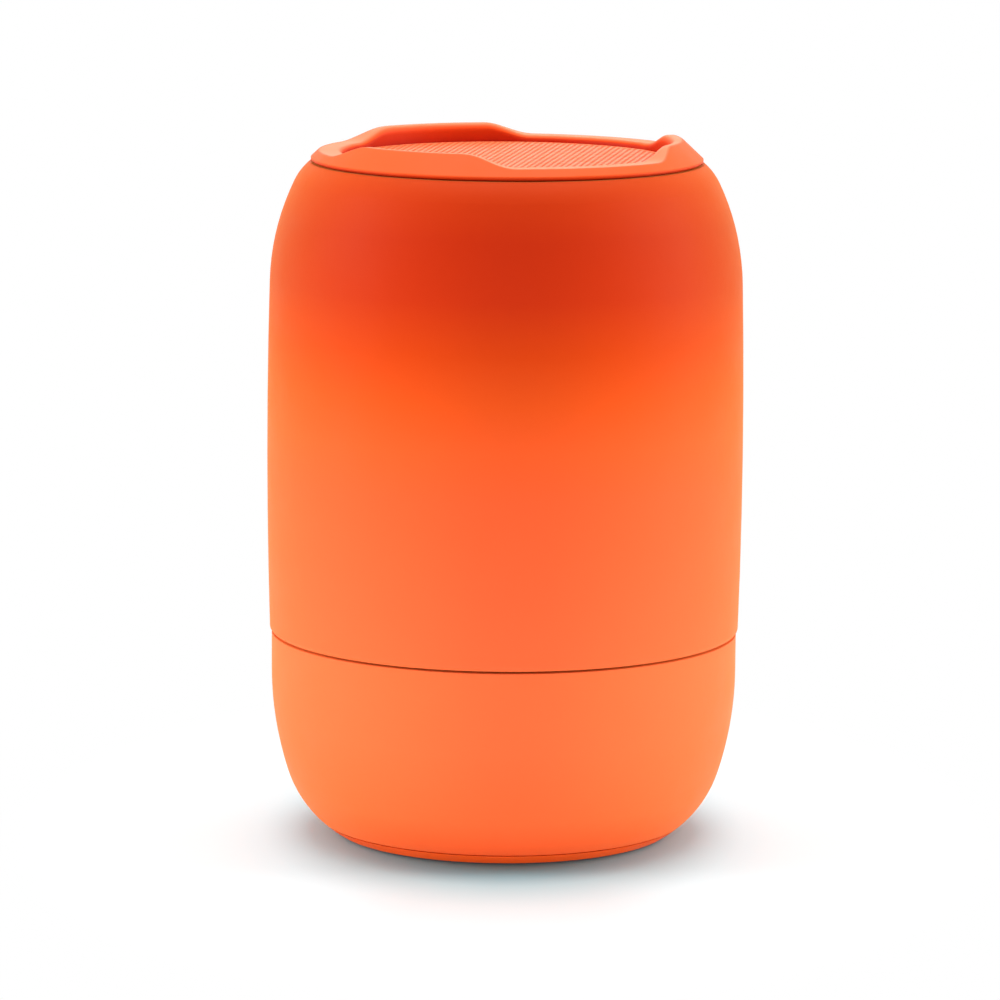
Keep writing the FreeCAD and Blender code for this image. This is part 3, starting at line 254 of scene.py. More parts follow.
# ---- Components ---------------------------------------------------------------------------
# Soldered on the boards: a moulded amplifier chip, a radio module under a tinned can, three
# electrolytic capacitors, two ferrite inductors, nylon plugs, a lamp and a microphone.
chip_epoxy, shader, place = new_finish("chip_epoxy", (0.02, 0.02, 0.021), 0.6, 0.4)
between(shader, noise(shader, place, 0.001, 4.0), "Roughness", 0.5, 0.72)
colours(shader, noise(shader, place, 0.002), (0.3, (0.016, 0.016, 0.017)), (0.7, (0.026, 0.026, 0.027)))
texture(shader, noise(shader, place, 0.0002, 3.0), 0.00003)
dress(chip_epoxy, "amplifier_chip")

can_steel, shader, place = new_finish("can_steel", (0.62, 0.62, 0.61), 0.3, 0.5, 1.0)
brushed = noise(shader, place, 0.002, 4.0, (0.05, 1.0, 1.0))
between(shader, brushed, "Roughness", 0.22, 0.42)
colours(shader, brushed, (0.3, (0.56, 0.56, 0.55)), (0.7, (0.67, 0.67, 0.66)))
texture(shader, brushed, 0.00001)
dress(can_steel, "bluetooth_module")

can_foot_z = 27.8 * MM
can_top_z = 35.3 * MM
can_aluminium, shader, place = new_finish("can_aluminium", (0.70, 0.71, 0.72), 0.3, 0.5, 1.0)
between(shader, noise(shader, place, 0.001, 3.0, (1.0, 1.0, 0.1)), "Roughness", 0.2, 0.4)
colours(shader, by_height(shader, place, can_foot_z, can_top_z),
        (0.30, (0.72, 0.73, 0.74)), (0.34, (0.03, 0.03, 0.035)), (0.92, (0.03, 0.03, 0.035)))
texture(shader, noise(shader, place, 0.002, 2.0), 0.00002)
dress(can_aluminium, "capacitors")

inductor_ferrite, shader, place = new_finish("inductor_ferrite", (0.06, 0.06, 0.065), 0.7, 0.3)
between(shader, noise(shader, place, 0.0006, 4.0), "Roughness", 0.6, 0.85)
colours(shader, noise(shader, place, 0.001, 4.0), (0.3, (0.045, 0.045, 0.05)), (0.7, (0.08, 0.08, 0.085)))
texture(shader, noise(shader, place, 0.0003, 4.0), 0.00006)
dress(inductor_ferrite, "inductors")

connector_nylon, shader, place = new_finish("connector_nylon", (0.75, 0.73, 0.66), 0.42, 0.5)
shader.inputs["Subsurface Weight"].default_value = 0.15
shader.inputs["Subsurface Radius"].default_value = (0.001, 0.0008, 0.0006)
between(shader, noise(shader, place, 0.002, 3.0), "Roughness", 0.36, 0.5)
colours(shader, noise(shader, place, 0.004), (0.3, (0.72, 0.70, 0.62)), (0.7, (0.78, 0.76, 0.69)))
texture(shader, noise(shader, place, 0.0005, 3.0), 0.00003)
dress(connector_nylon, "board_connectors")

led_epoxy, shader, place = new_finish("led_epoxy", (0.85, 0.86, 0.82), 0.15, 0.5)
shader.inputs["Transmission Weight"].default_value = 0.4
between(shader, noise(shader, place, 0.0006), "Roughness", 0.1, 0.22)
colours(shader, noise(shader, place, 0.001), (0.3, (0.82, 0.83, 0.78)), (0.7, (0.90, 0.90, 0.86)))
texture(shader, noise(shader, place, 0.0008), 0.00002)
dress(led_epoxy, "status_led")

mic_can, shader, place = new_finish("mic_can", (0.80, 0.62, 0.28), 0.3, 0.5, 1.0)
between(shader, noise(shader, place, 0.0008, 3.0), "Roughness", 0.22, 0.4)
colours(shader, noise(shader, place, 0.0015), (0.3, (0.74, 0.57, 0.25)), (0.7, (0.84, 0.66, 0.31)))
texture(shader, noise(shader, place, 0.0005, 3.0), 0.00001)
dress(mic_can, "microphone")

# ---- Sockets ------------------------------------------------------------------------------
# A charging socket with a drawn steel shell, and a black audio jack beside it. Both sit on the
# small board and open into the pocket behind the flap.
socket_steel, shader, place = new_finish("socket_steel", (0.66, 0.66, 0.67), 0.25, 0.5, 1.0)
drawn = noise(shader, place, 0.0015, 4.0, (1.0, 0.05, 1.0))
between(shader, drawn, "Roughness", 0.18, 0.36)
colours(shader, drawn, (0.3, (0.60, 0.60, 0.61)), (0.7, (0.70, 0.70, 0.71)))
texture(shader, drawn, 0.00001)
dress(socket_steel, "usb_socket")

jack_plastic, shader, place = new_finish("jack_plastic", (0.02, 0.02, 0.022), 0.4, 0.5)
between(shader, noise(shader, place, 0.001, 3.0), "Roughness", 0.32, 0.5)
colours(shader, noise(shader, place, 0.003), (0.3, (0.016, 0.016, 0.018)), (0.7, (0.028, 0.028, 0.030)))
texture(shader, noise(shader, place, 0.0004, 3.0), 0.00003)
dress(jack_plastic, "audio_jack")

# ---- Light pipe and microphone boot -------------------------------------------------------
# A clear acrylic rod pressed into the wall carries the lamp's light out below the keys, and a
# soft black boot seals the microphone to its hole.
pipe_acrylic, shader, place = new_finish("pipe_acrylic", (0.92, 0.93, 0.93), 0.12, 0.5)
shader.inputs["Transmission Weight"].default_value = 0.35
shader.inputs["IOR"].default_value = 1.49
between(shader, noise(shader, place, 0.0008, 3.0), "Roughness", 0.08, 0.22)
colours(shader, noise(shader, place, 0.002), (0.3, (0.90, 0.91, 0.91)), (0.7, (0.95, 0.96, 0.96)))
texture(shader, noise(shader, place, 0.0005), 0.00001)
dress(pipe_acrylic, "light_pipe")

gasket_rubber, shader, place = new_finish("gasket_rubber", (0.016, 0.016, 0.017), 0.8, 0.3)
between(shader, noise(shader, place, 0.002, 4.0), "Roughness", 0.7, 0.9)
colours(shader, noise(shader, place, 0.004, 4.0), (0.3, (0.012, 0.012, 0.013)), (0.7, (0.026, 0.026, 0.026)))
texture(shader, noise(shader, place, 0.0004, 4.0), 0.00008)
dress(gasket_rubber, "mic_boot", "driver_gasket", "seam_gasket", "cable_grommet")

# ---- Keys ---------------------------------------------------------------------------------
# Four silicone keys with domed faces, each on a black plunger over a steel-framed switch. The
# plain signs are raised in the moulding and overprinted in a darker orange.
key_rubber, shader, place = new_finish("key_rubber", (0.96, 0.120, 0.026), 0.62, 0.15)
shader.inputs["Sheen Weight"].default_value = 0.15
shader.inputs["Sheen Tint"].default_value = (1.0, 0.60, 0.24, 1.0)
between(shader, noise(shader, place, 0.003, 4.0), "Roughness", 0.56, 0.7)
colours(shader, noise(shader, place, 0.006), (0.3, (0.94, 0.114, 0.023)), (0.7, (0.98, 0.127, 0.029)))
texture(shader, noise(shader, place, 0.0003, 3.0), 0.00004)
dress(key_rubber, "power_button", "volume_down_button", "play_button", "volume_up_button")

plunger_plastic, shader, place = new_finish("plunger_plastic", (0.02, 0.02, 0.02), 0.35, 0.5)
between(shader, noise(shader, place, 0.001, 3.0), "Roughness", 0.28, 0.45)
colours(shader, noise(shader, place, 0.002), (0.3, (0.016, 0.016, 0.016)), (0.7, (0.028, 0.028, 0.028)))
texture(shader, noise(shader, place, 0.0004, 3.0), 0.00002)
dress(plunger_plastic, "power_plunger", "volume_down_plunger", "play_plunger", "volume_up_plunger")

switch_body, shader, place = new_finish("switch_body", (0.42, 0.42, 0.43), 0.35, 0.5, 1.0)
between(shader, noise(shader, place, 0.0012, 4.0), "Roughness", 0.28, 0.48)
colours(shader, noise(shader, place, 0.002, 3.0), (0.3, (0.38, 0.38, 0.39)), (0.7, (0.48, 0.48, 0.49)))
texture(shader, noise(shader, place, 0.0004, 3.0), 0.00002)
dress(switch_body, "tact_switches")

sign_rise = 0.15 * MM
sign_sink = 0.25 * MM


def bar(x0, x1, z0, z1):
    """Corners of an upright bar, divided so that it can follow the key's dome."""
    columns = 8
    rows = 3
    strips = []
    for i in range(columns):
        for j in range(rows):
            left = x0 + (x1 - x0) * i / columns
            right = x0 + (x1 - x0) * (i + 1) / columns
            low = z0 + (z1 - z0) * j / rows
            high = z0 + (z1 - z0) * (j + 1) / rows
            strips.append([(left, low), (right, low), (right, high), (left, high)])
    return strips


def arc_band(inner, outer, start, end):
    """Corners of a ring's sector, in degrees from the top, clockwise."""
    steps = 28
    strips = []
    for k in range(steps):
        a, b = (math.radians(start + (end - start) * (k + i) / steps) for i in (0, 1))
        spots = ((outer, a), (outer, b), (inner, b), (inner, a))
        strips.append([(radius * math.sin(turn), radius * math.cos(turn)) for radius, turn in spots])
    return strips


def wedge(width, height):
    """Triangle that points to the right, in rows."""
    strips = []
    rows = 8
    for k in range(rows):
        left = -width / 2 + width * k / rows
        right = -width / 2 + width * (k + 1) / rows
        left_half = height / 2 * (1 - k / rows)
        right_half = height / 2 * (1 - (k + 1) / rows)
        strips.append([(left, -left_half), (right, -right_half), (right, right_half), (left, left_half)])
    return strips


def new_piece(name, shape, finish):
    """Object with one finish, from a mesh that is under construction."""
    mesh = bpy.data.meshes.new(name)
    shape.to_mesh(mesh)
    shape.free()
    mesh.materials.append(finish)
    piece = bpy.data.objects.new(name, mesh)
    bpy.context.scene.collection.objects.link(piece)
    return piece


def raised(name, node, strips, finish, body):
    """Lays strips over the outer face of a piece on the back, in one skin that follows it."""
    low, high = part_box(node)
    middle_x = (low[0] + high[0]) / 2
    middle_z = (low[2] + high[2]) / 2
    face = BVHTree.FromObject(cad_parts[node], bpy.context.evaluated_depsgraph_get())
    shape = bmesh.new()
    fronts = {}
    backs = {}
    for strip in strips:
        for corner in strip:
            spot = tuple(round(v / MM, 3) for v in corner)
            if spot not in fronts:
                x = middle_x - corner[0]
                z = middle_z + corner[1]
                outside = Vector((x, high[1] + 10 * MM, z))
                hit = face.ray_cast(outside, Vector((0, -1, 0)))[0]
                fronts[spot] = shape.verts.new((x, hit.y + sign_rise, z))
                backs[spot] = shape.verts.new((x, hit.y - sign_sink, z))
    for strip in strips:
        spots = []
        for corner in strip:
            spot = tuple(round(v / MM, 3) for v in corner)
            if not spots or spot != spots[-1]:
                spots.append(spot)
        if spots[0] == spots[-1]:
            spots.pop()
        shape.faces.new([fronts[spot] for spot in spots])
        shape.faces.new([backs[spot] for spot in spots[::-1]])
    rims = [e for e in shape.edges if len(e.link_faces) == 1 and e.verts[0] in set(fronts.values())]
    partner = {fronts[spot]: backs[spot] for spot in fronts}
    for edge in rims:
        a, b = edge.verts
        shape.faces.new((a, b, partner[b], partner[a]))
    bmesh.ops.recalc_face_normals(shape, faces=shape.faces)
    piece = new_piece(name, shape, finish)
    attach(piece, body)


sign_ink, shader, place = new_finish("sign_ink", (0.50, 0.030, 0.003), 0.55, 0.15)
between(shader, noise(shader, place, 0.001, 3.0), "Roughness", 0.48, 0.64)
colours(shader, noise(shader, place, 0.002), (0.3, (0.46, 0.026, 0.002)), (0.7, (0.54, 0.035, 0.004)))
texture(shader, noise(shader, place, 0.0003, 3.0), 0.00002)

stroke = 0.55 * MM
thin = stroke / 2
arm = 1.8 * MM
power_ring_r = 1.9 * MM
signs = {
    "power": arc_band(power_ring_r - stroke, power_ring_r, 35, 325)
    + bar(-thin, thin, 0.5 * MM, 2.2 * MM),
    "volume_down": bar(-arm, arm, -thin, thin),
    "play": wedge(3.0 * MM, 3.4 * MM),
    "volume_up": bar(-arm, -thin, -thin, thin) + bar(thin, arm, -thin, thin) + bar(-thin, thin, -arm, arm),
}
for key, strips in signs.items():
    raised(key + "_sign", key + "_button", strips, sign_ink, key + "_key")

# ---- Flap ---------------------------------------------------------------------------------
# Silicone flap over the sockets, moulded with its anchor strip and a sealing rim, in the same
# orange as the cup but a little duller.
flap_rubber, shader, place = new_finish("flap_rubber", (0.96, 0.126, 0.030), 0.66, 0.15)
shader.inputs["Sheen Weight"].default_value = 0.2
shader.inputs["Sheen Tint"].default_value = (1.0, 0.60, 0.24, 1.0)
between(shader, noise(shader, place, 0.004, 4.0), "Roughness", 0.6, 0.76)
colours(shader, noise(shader, place, 0.008), (0.3, (0.94, 0.120, 0.026)), (0.7, (0.98, 0.133, 0.034)))
texture(shader, noise(shader, place, 0.0003, 3.0), 0.00005)
dress(flap_rubber, "port_flap", "flap_anchor")
flap_low, flap_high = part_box("port_flap")
rib_half = 4.5 * MM
rib_w = 0.4 * MM
rib_step = 0.9 * MM
top_inset = 1.1 * MM
grip = []
for k in range(3):
    rib_top = (flap_high[2] - flap_low[2]) / 2 - top_inset - rib_step * k
    grip += bar(-rib_half, rib_half, rib_top - rib_w, rib_top)
raised("flap_grip", "port_flap", grip, flap_rubber, "port_flap")

# ---- Screws -------------------------------------------------------------------------------
# Zinc-plated steel screws join the housings, the bulkhead, the driver and the boards.
screw_steel, shader, place = new_finish("screw_steel", (0.52, 0.53, 0.55), 0.34, 0.5, 1.0)
between(shader, noise(shader, place, 0.0008, 4.0), "Roughness", 0.26, 0.46)
colours(shader, noise(shader, place, 0.002, 3.0), (0.3, (0.47, 0.48, 0.50)), (0.7, (0.58, 0.59, 0.60)))
texture(shader, noise(shader, place, 0.0004, 3.0), 0.00002)
dress(screw_steel, "bulkhead_screws", "housing_screws", "driver_screws", "board_screws", "control_screws")

# ---- Drum ---------------------------------------------------------------------------------
# Upper housing in ABS with the same soft-touch coat. Its orange is painted deeper, evenly from the
# waist up to the shoulder: painted shade on the upper part of the drum.
drum_coating, shader, place = new_finish("drum_coating", (0.95, 0.12, 0.03), 0.52, 0.05)
# Painted shade: the ramp darkens the coat from the waist up to the shoulder, easing a little at the top
# edge.
colours(shader, by_height(shader, place, seam_z, 128 * MM),
        (0.00, (1.00, 0.140, 0.044)), (0.15, (1.00, 0.126, 0.038)), (0.35, (0.99, 0.108, 0.028)),
        (0.45, (0.93, 0.099, 0.018)), (0.55, (0.82, 0.074, 0.006)), (0.65, (0.69, 0.042, 0.000)),
        (0.76, (0.58, 0.019, 0.000)), (0.88, (0.54, 0.014, 0.000)), (1.00, (0.58, 0.024, 0.000)))
soft_touch(shader, place, 0.3)
dress(drum_coating, "upper_housing")

# ---- Driver -------------------------------------------------------------------------------
# A 50 mm full-range unit that faces up: black stamped basket, ferrite magnet between plated
# steel plates, pressed paper cone with a rubber surround, and a resin-dipped spider.
basket_steel, shader, place = new_finish("basket_steel", (0.02, 0.02, 0.022), 0.45, 0.5)
between(shader, noise(shader, place, 0.002, 4.0), "Roughness", 0.36, 0.56)
colours(shader, noise(shader, place, 0.006), (0.3, (0.017, 0.017, 0.019)), (0.7, (0.028, 0.028, 0.030)))
texture(shader, noise(shader, place, 0.0006, 3.0), 0.00004)
dress(basket_steel, "driver_frame")

surround_rubber, shader, place = new_finish("surround_rubber", (0.012, 0.012, 0.013), 0.6, 0.4)
between(shader, noise(shader, place, 0.003, 4.0), "Roughness", 0.5, 0.75)
colours(shader, noise(shader, place, 0.004, 5.0), (0.3, (0.010, 0.010, 0.011)), (0.7, (0.024, 0.023, 0.022)))
texture(shader, noise(shader, place, 0.0006, 3.0), 0.00004)
flex_sectors = 12


def flexing_ring(name, node, finish):
    """Cuts a ring into sectors, each a piece of its own with the finish, and hides the CAD node."""
    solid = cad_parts[node]
    half = math.pi / flex_sectors
    for k in range(flex_sectors):
        middle = 2 * half * k
        sector = bmesh.new()
        sector.from_mesh(solid.data)
        bmesh.ops.transform(sector, matrix=solid.matrix_world, verts=sector.verts)
        bmesh.ops.remove_doubles(sector, verts=sector.verts, dist=0.0005 * MM)
        for side in (-1, 1):
            angle = middle + side * half
            normal = (-side * math.sin(angle), side * math.cos(angle), 0)
            cut = bmesh.ops.bisect_plane(sector, geom=sector.verts[:] + sector.edges[:] + sector.faces[:],
                                         dist=0.0001 * MM, plane_co=(0, 0, 0), plane_no=normal,
                                         clear_outer=True)
            edges = [e for e in cut["geom_cut"] if isinstance(e, bmesh.types.BMEdge)]
            bmesh.ops.triangle_fill(sector, edges=edges, use_beauty=True)
        bmesh.ops.recalc_face_normals(sector, faces=sector.faces)
        piece = new_piece(f"{name}_{k + 1}", sector, finish)
        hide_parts(node)
        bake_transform(piece)


flexing_ring("surround_sector", "cone_surround", surround_rubber)

cone_paper, shader, place = new_finish("cone_paper", (0.03, 0.03, 0.03), 0.85, 0.25)
pulp = noise(shader, place, 0.0012, 8.0, (1.0, 1.6, 1.0))
between(shader, pulp, "Roughness", 0.75, 0.95)
colours(shader, pulp, (0.3, (0.022, 0.022, 0.022)), (0.7, (0.048, 0.047, 0.045)))
texture(shader, pulp, 0.0001)
dress(cone_paper, "speaker_cone", "dust_cap")

former_foil, shader, place = new_finish("former_foil", (0.75, 0.75, 0.77), 0.28, 0.5, 1.0)
rolled = noise(shader, place, 0.001, 3.0, (1.0, 1.0, 0.1))
between(shader, rolled, "Roughness", 0.2, 0.38)
colours(shader, rolled, (0.3, (0.70, 0.70, 0.72)), (0.7, (0.80, 0.80, 0.82)))
texture(shader, rolled, 0.00001)
dress(former_foil, "coil_former")

coil_wire, shader, place = new_finish("coil_wire", (0.55, 0.22, 0.08), 0.3, 0.5, 1.0)
turns = shader.id_data.nodes.new("ShaderNodeTexWave")
turns.bands_direction = "Z"
turns.inputs["Scale"].default_value = 1400.0
shader.id_data.links.new(place, turns.inputs["Vector"])
colours(shader, turns.outputs["Fac"], (0.2, (0.28, 0.10, 0.04)), (0.8, (0.62, 0.26, 0.10)))
texture(shader, turns.outputs["Fac"], 0.00006)
between(shader, noise(shader, place, 0.001), "Roughness", 0.24, 0.38)
dress(coil_wire, "voice_coil")

spider_cloth, shader, place = new_finish("spider_cloth", (0.52, 0.34, 0.11), 0.8, 0.2)
weave = shader.id_data.nodes.new("ShaderNodeTexBrick")
weave.inputs["Scale"].default_value = 1700.0
weave.inputs["Color1"].default_value = (0.56, 0.37, 0.12, 1.0)
weave.inputs["Color2"].default_value = (0.47, 0.30, 0.09, 1.0)
weave.inputs["Mortar"].default_value = (0.22, 0.13, 0.04, 1.0)
shader.id_data.links.new(place, weave.inputs["Vector"])
shader.id_data.links.new(weave.outputs["Color"], shader.inputs["Base Color"])
texture(shader, weave.outputs["Fac"], -0.00008)
between(shader, noise(shader, place, 0.003), "Roughness", 0.7, 0.9)
flexing_ring("spider_sector", "spider", spider_cloth)

plate_steel, shader, place = new_finish("plate_steel", (0.55, 0.56, 0.58), 0.36, 0.5, 1.0)
zinc = noise(shader, place, 0.002, 5.0)
between(shader, zinc, "Roughness", 0.28, 0.5)
colours(shader, zinc, (0.3, (0.50, 0.51, 0.53)), (0.7, (0.61, 0.62, 0.62)))
texture(shader, zinc, 0.00003)
dress(plate_steel, "top_plate", "yoke")

magnet_ferrite, shader, place = new_finish("magnet_ferrite", (0.05, 0.05, 0.055), 0.65, 0.35)
sintered = noise(shader, place, 0.0008, 6.0)
between(shader, sintered, "Roughness", 0.55, 0.8)
colours(shader, sintered, (0.3, (0.036, 0.036, 0.04)), (0.7, (0.068, 0.068, 0.072)))
texture(shader, sintered, 0.00008)
dress(magnet_ferrite, "ring_magnet")

terminal_board, shader, place = new_finish("terminal_board", (0.22, 0.10, 0.03), 0.4, 0.5)
layers = noise(shader, place, 0.001, 5.0, (0.3, 1.0, 4.0))
between(shader, layers, "Roughness", 0.32, 0.5)
colours(shader, layers, (0.3, (0.17, 0.075, 0.022)), (0.7, (0.27, 0.13, 0.04)))
texture(shader, layers, 0.00003)
dress(terminal_board, "driver_terminal")

# ---- Grille and cloth ---------------------------------------------------------------------
# A flat steel disc, punched with staggered round holes and painted orange, lies on the ring's
# ledge with a dark acoustic cloth under it.
cloth_weave, shader, place = new_finish("cloth_weave", (0.10, 0.018, 0.006), 0.9, 0.15)
threads = shader.id_data.nodes.new("ShaderNodeTexBrick")
threads.inputs["Scale"].default_value = 2600.0
threads.inputs["Color1"].default_value = (0.13, 0.022, 0.007, 1.0)
threads.inputs["Color2"].default_value = (0.10, 0.017, 0.005, 1.0)
threads.inputs["Mortar"].default_value = (0.02, 0.004, 0.002, 1.0)
shader.id_data.links.new(place, threads.inputs["Vector"])
shader.id_data.links.new(threads.outputs["Color"], shader.inputs["Base Color"])
texture(shader, threads.outputs["Fac"], -0.00006)
between(shader, noise(shader, place, 0.003), "Roughness", 0.82, 0.96)
dress(cloth_weave, "grille_cloth")

grille_low, grille_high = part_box("top_grille")
grille_r = (grille_high[0] - grille_low[0]) / 2
sheet_t = grille_high[2] - grille_low[2]
hole_pitch = 1.31 * MM
hole_r = 0.4 * MM
hole_sides = 12
plain_edge = 0.3 * MM
row_turn = math.radians(21)

row_step = hole_pitch * math.sqrt(0.75)
cells = []
cell_rows = int(grille_r / row_step) + 1
for row in range(-cell_rows, cell_rows + 1):
    for column in range(-cell_rows - 2, cell_rows + 3):
        x = (column + (row % 2) / 2) * hole_pitch
        y = row * row_step
        if math.hypot(x, y) < grille_r - plain_edge - hole_pitch / 2:
            cells.append((x, y))
sheet = bmesh.new()
corner_r = hole_pitch / math.sqrt(3)
for x, y in cells:
    rim = []
    wall = []
    border = []
    underside = []
    for k in range(hole_sides):
        angle = math.radians(360 / hole_sides * k)
        reach = corner_r if k % 2 else hole_pitch / 2
        border.append(sheet.verts.new((x + reach * math.cos(angle), y + reach * math.sin(angle), 0)))
        underside.append(sheet.verts.new((*border[k].co.xy, -sheet_t)))
        rim.append(sheet.verts.new((x + hole_r * math.cos(angle), y + hole_r * math.sin(angle), 0)))
        wall.append(sheet.verts.new((*rim[k].co.xy, -sheet_t)))
    for k in range(hole_sides):
        j = (k + 1) % hole_sides
        sheet.faces.new((border[k], border[j], rim[j], rim[k]))
        sheet.faces.new((rim[k], rim[j], wall[j], wall[k]))
        sheet.faces.new((wall[k], wall[j], underside[j], underside[k]))
bmesh.ops.remove_doubles(sheet, verts=sheet.verts, dist=0.02 * MM)
open_edges = [e for e in sheet.edges if len(e.link_faces) == 1]
top_outline = [e for e in open_edges if e.verts[0].co.z > -sheet_t / 2]
low_outline = [e for e in open_edges if e.verts[0].co.z < -sheet_t / 2]
edge_round = 0.2 * MM
circle_steps = 180
loops = []
for loop_r, z in ((grille_r - edge_round, 0.0), (grille_r - 0.3 * edge_round, -0.3 * edge_round),
                  (grille_r, -edge_round), (grille_r, -sheet_t)):
    loop = []
    for k in range(circle_steps):
        angle = 2 * math.pi * k / circle_steps
        loop.append(sheet.verts.new((loop_r * math.cos(angle), loop_r * math.sin(angle), z)))
    loops.append(loop)
top_rim, low_rim = [[sheet.edges.new((loop[k], loop[(k + 1) % circle_steps])) for k in range(circle_steps)]
                    for loop in (loops[0], loops[-1])]
for upper, lower in zip(loops, loops[1:]):
    for k in range(circle_steps):
        j = (k + 1) % circle_steps
        sheet.faces.new((upper[k], lower[k], lower[j], upper[j]))
bmesh.ops.triangle_fill(sheet, edges=top_outline + top_rim, use_beauty=True)
bmesh.ops.triangle_fill(sheet, edges=low_outline + low_rim, use_beauty=True)
bmesh.ops.recalc_face_normals(sheet, faces=sheet.faces)
bmesh.ops.rotate(sheet, verts=sheet.verts, cent=(0, 0, 0), matrix=Matrix.Rotation(row_turn, 3, "Z"))
bmesh.ops.translate(sheet, verts=sheet.verts, vec=(0, 0, grille_high[2]))

grille_paint, shader, place = new_finish("grille_paint", (1.0, 0.19, 0.055), 0.5, 0.12)
colours(shader, noise(shader, place, 0.012), (0.3, (0.99, 0.18, 0.060)), (0.7, (1.0, 0.20, 0.070)))
between(shader, noise(shader, place, 0.003, 4.0), "Roughness", 0.44, 0.58)
texture(shader, noise(shader, place, 0.0003, 3.0), 0.00003)
grille = new_piece("perforated_disc", sheet, grille_paint)
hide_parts("top_grille")
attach(grille, "speaker_body")

# ---- Crown ring ---------------------------------------------------------------------------
# Ring with three low lobes, moulded in one piece with its grille ledge and snap hooks, coated in
# the light shade outside. Its colour has painted shade down its bore and on its foot by the seam,
# and a painted highlight on the top land.
crown_plastic, shader, place = new_finish("crown_plastic", (1.0, 0.16, 0.04), 0.5, 0.12)
tree = shader.id_data
ring_low, ring_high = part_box("crown_ring")
ring_r = (ring_high[0] - ring_low[0]) / 2
drum_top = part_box("upper_housing")[1][2]
grille_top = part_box("top_grille")[1][2]
cone_foot = drum_top + 0.92 * MM
cone_lean = 1.07
cone_top_r = ring_r - cone_lean * (ring_high[2] - cone_foot)
bore_r = 30.8 * MM
bore_lip = 1.1 * MM
bore_depth = 7.5 * MM
land_edge = 0.5 * MM


def distance(tree, place, stretch):
    """How far a point is from the origin, with each axis stretched."""
    stretched = tree.nodes.new("ShaderNodeVectorMath")
    stretched.operation = "MULTIPLY"
    stretched.inputs[1].default_value = stretch
    length = tree.nodes.new("ShaderNodeVectorMath")
    length.operation = "LENGTH"
    tree.links.new(place, stretched.inputs[0])
    tree.links.new(stretched.outputs["Vector"], length.inputs[0])
    return length.outputs["Value"]


def combine(tree, operation, *values):
    """One sum, product or the like of two patterns."""
    node = tree.nodes.new("ShaderNodeMath")
    node.operation = operation
    for value, socket in zip(values, node.inputs):
        tree.links.new(value, socket)
    return node.outputs["Value"]


# Painted shade and highlight: dark down the bore and on the foot just above the drum, lighter on the top
# land than on the outer cone.
from_axis = distance(tree, place, (1.0, 1.0, 0.0))
out_from_bore = spread(tree, from_axis, bore_r, bore_r + bore_lip)
up_from_grille = by_height(shader, place, grille_top, grille_top + bore_depth)
painted_bore_shade = spread(tree, combine(tree, "ADD", out_from_bore, up_from_grille), 0.0, 1.0)
up_from_drum = by_height(shader, place, drum_top + 0.1 * MM, cone_foot + 0.2 * MM)
up_the_cone = by_height(shader, place, cone_foot, ring_high[2])
cone_r = spread(tree, up_the_cone, 0.0, 1.0, ring_r, cone_top_r)
inside_cone = combine(tree, "SUBTRACT", cone_r, from_axis)
land_painted_highlight = spread(tree, inside_cone, land_edge / 10, land_edge, 0.5, 1.0)
# The ramp runs from the painted shade, through the cone's own orange, to the painted highlight on the land.
shade = combine(tree, "MULTIPLY", combine(tree, "MINIMUM", painted_bore_shade, up_from_drum), land_painted_highlight)
colours(shader, shade, (0.0, (0.48, 0.012, 0.000)), (0.25, (0.62, 0.036, 0.000)),
        (0.42, (0.94, 0.098, 0.012)), (0.5, (1.0, 0.105, 0.022)), (0.75, (1.0, 0.155, 0.050)),
        (1.0, (1.0, 0.210, 0.090)))
soft_touch(shader, place, 0.04)
dress(crown_plastic, "crown_ring")

# ---- Studio -------------------------------------------------------------------------------
# A bench with a seamless white sweep, lit by two tall side boxes, a large top panel and three
# weaker panels. The long lens stands a metre away and a little above the speaker.
scene = bpy.context.scene
scene.view_settings.view_transform = "Standard"

camera_data = bpy.data.cameras.new("studio_camera")
camera_data.lens = 190.17
camera_data.sensor_width = 36.0
camera_data.clip_start = 0.05
camera = bpy.data.objects.new("studio_camera", camera_data)
scene.collection.objects.link(camera)
camera_place = Vector((0.0, -0.9889, 0.2254))
camera_pitch = 0.1622
camera_yaw = -0.0009
camera_roll = 0.0071
forward = Vector((math.sin(camera_yaw) * math.cos(camera_pitch),
                  math.cos(camera_yaw) * math.cos(camera_pitch), -math.sin(camera_pitch)))
level_right = Vector((math.cos(camera_yaw), -math.sin(camera_yaw), 0.0))
level_up = level_right.cross(forward)
right = level_right * math.cos(camera_roll) + level_up * math.sin(camera_roll)
up = level_up * math.cos(camera_roll) - level_right * math.sin(camera_roll)
camera.matrix_world = Matrix.Translation(camera_place) @ Matrix((right, up, -forward)).transposed().to_4x4()
scene.camera = camera


def area_light(name, stand, target, width, height, watts):
    """Soft panel that faces the target."""
    data = bpy.data.lights.new(name, "AREA")
    data.shape = "RECTANGLE"
    data.size = width
    data.size_y = height
    data.energy = watts
    lamp = bpy.data.objects.new(name, data)
    lamp.location = stand
    lamp.rotation_euler = (Vector(target) - Vector(stand)).to_track_quat("-Z", "Y").to_euler()
    scene.collection.objects.link(lamp)


middle = (0.0, 0.0, 0.066)
area_light("left_box", (-0.76, -0.09, 0.22), middle, 0.35, 0.9, 6.2)
area_light("right_box", (0.77, -0.01, 0.22), middle, 0.35, 0.9, 6.2)
area_light("front_panel", (0.0, -1.3, 0.45), middle, 0.9, 0.5, 2.2)
area_light("top_panel", (0.0, 0.12, 0.95), middle, 0.8, 0.8, 8.0)
area_light("low_card", (0.0, -0.45, 0.04), (0.0, 0.0, 0.03), 0.8, 0.12, 0.62)
area_light("rear_panel", (0.0, 1.2, 0.7), middle, 0.9, 0.6, 2.6)


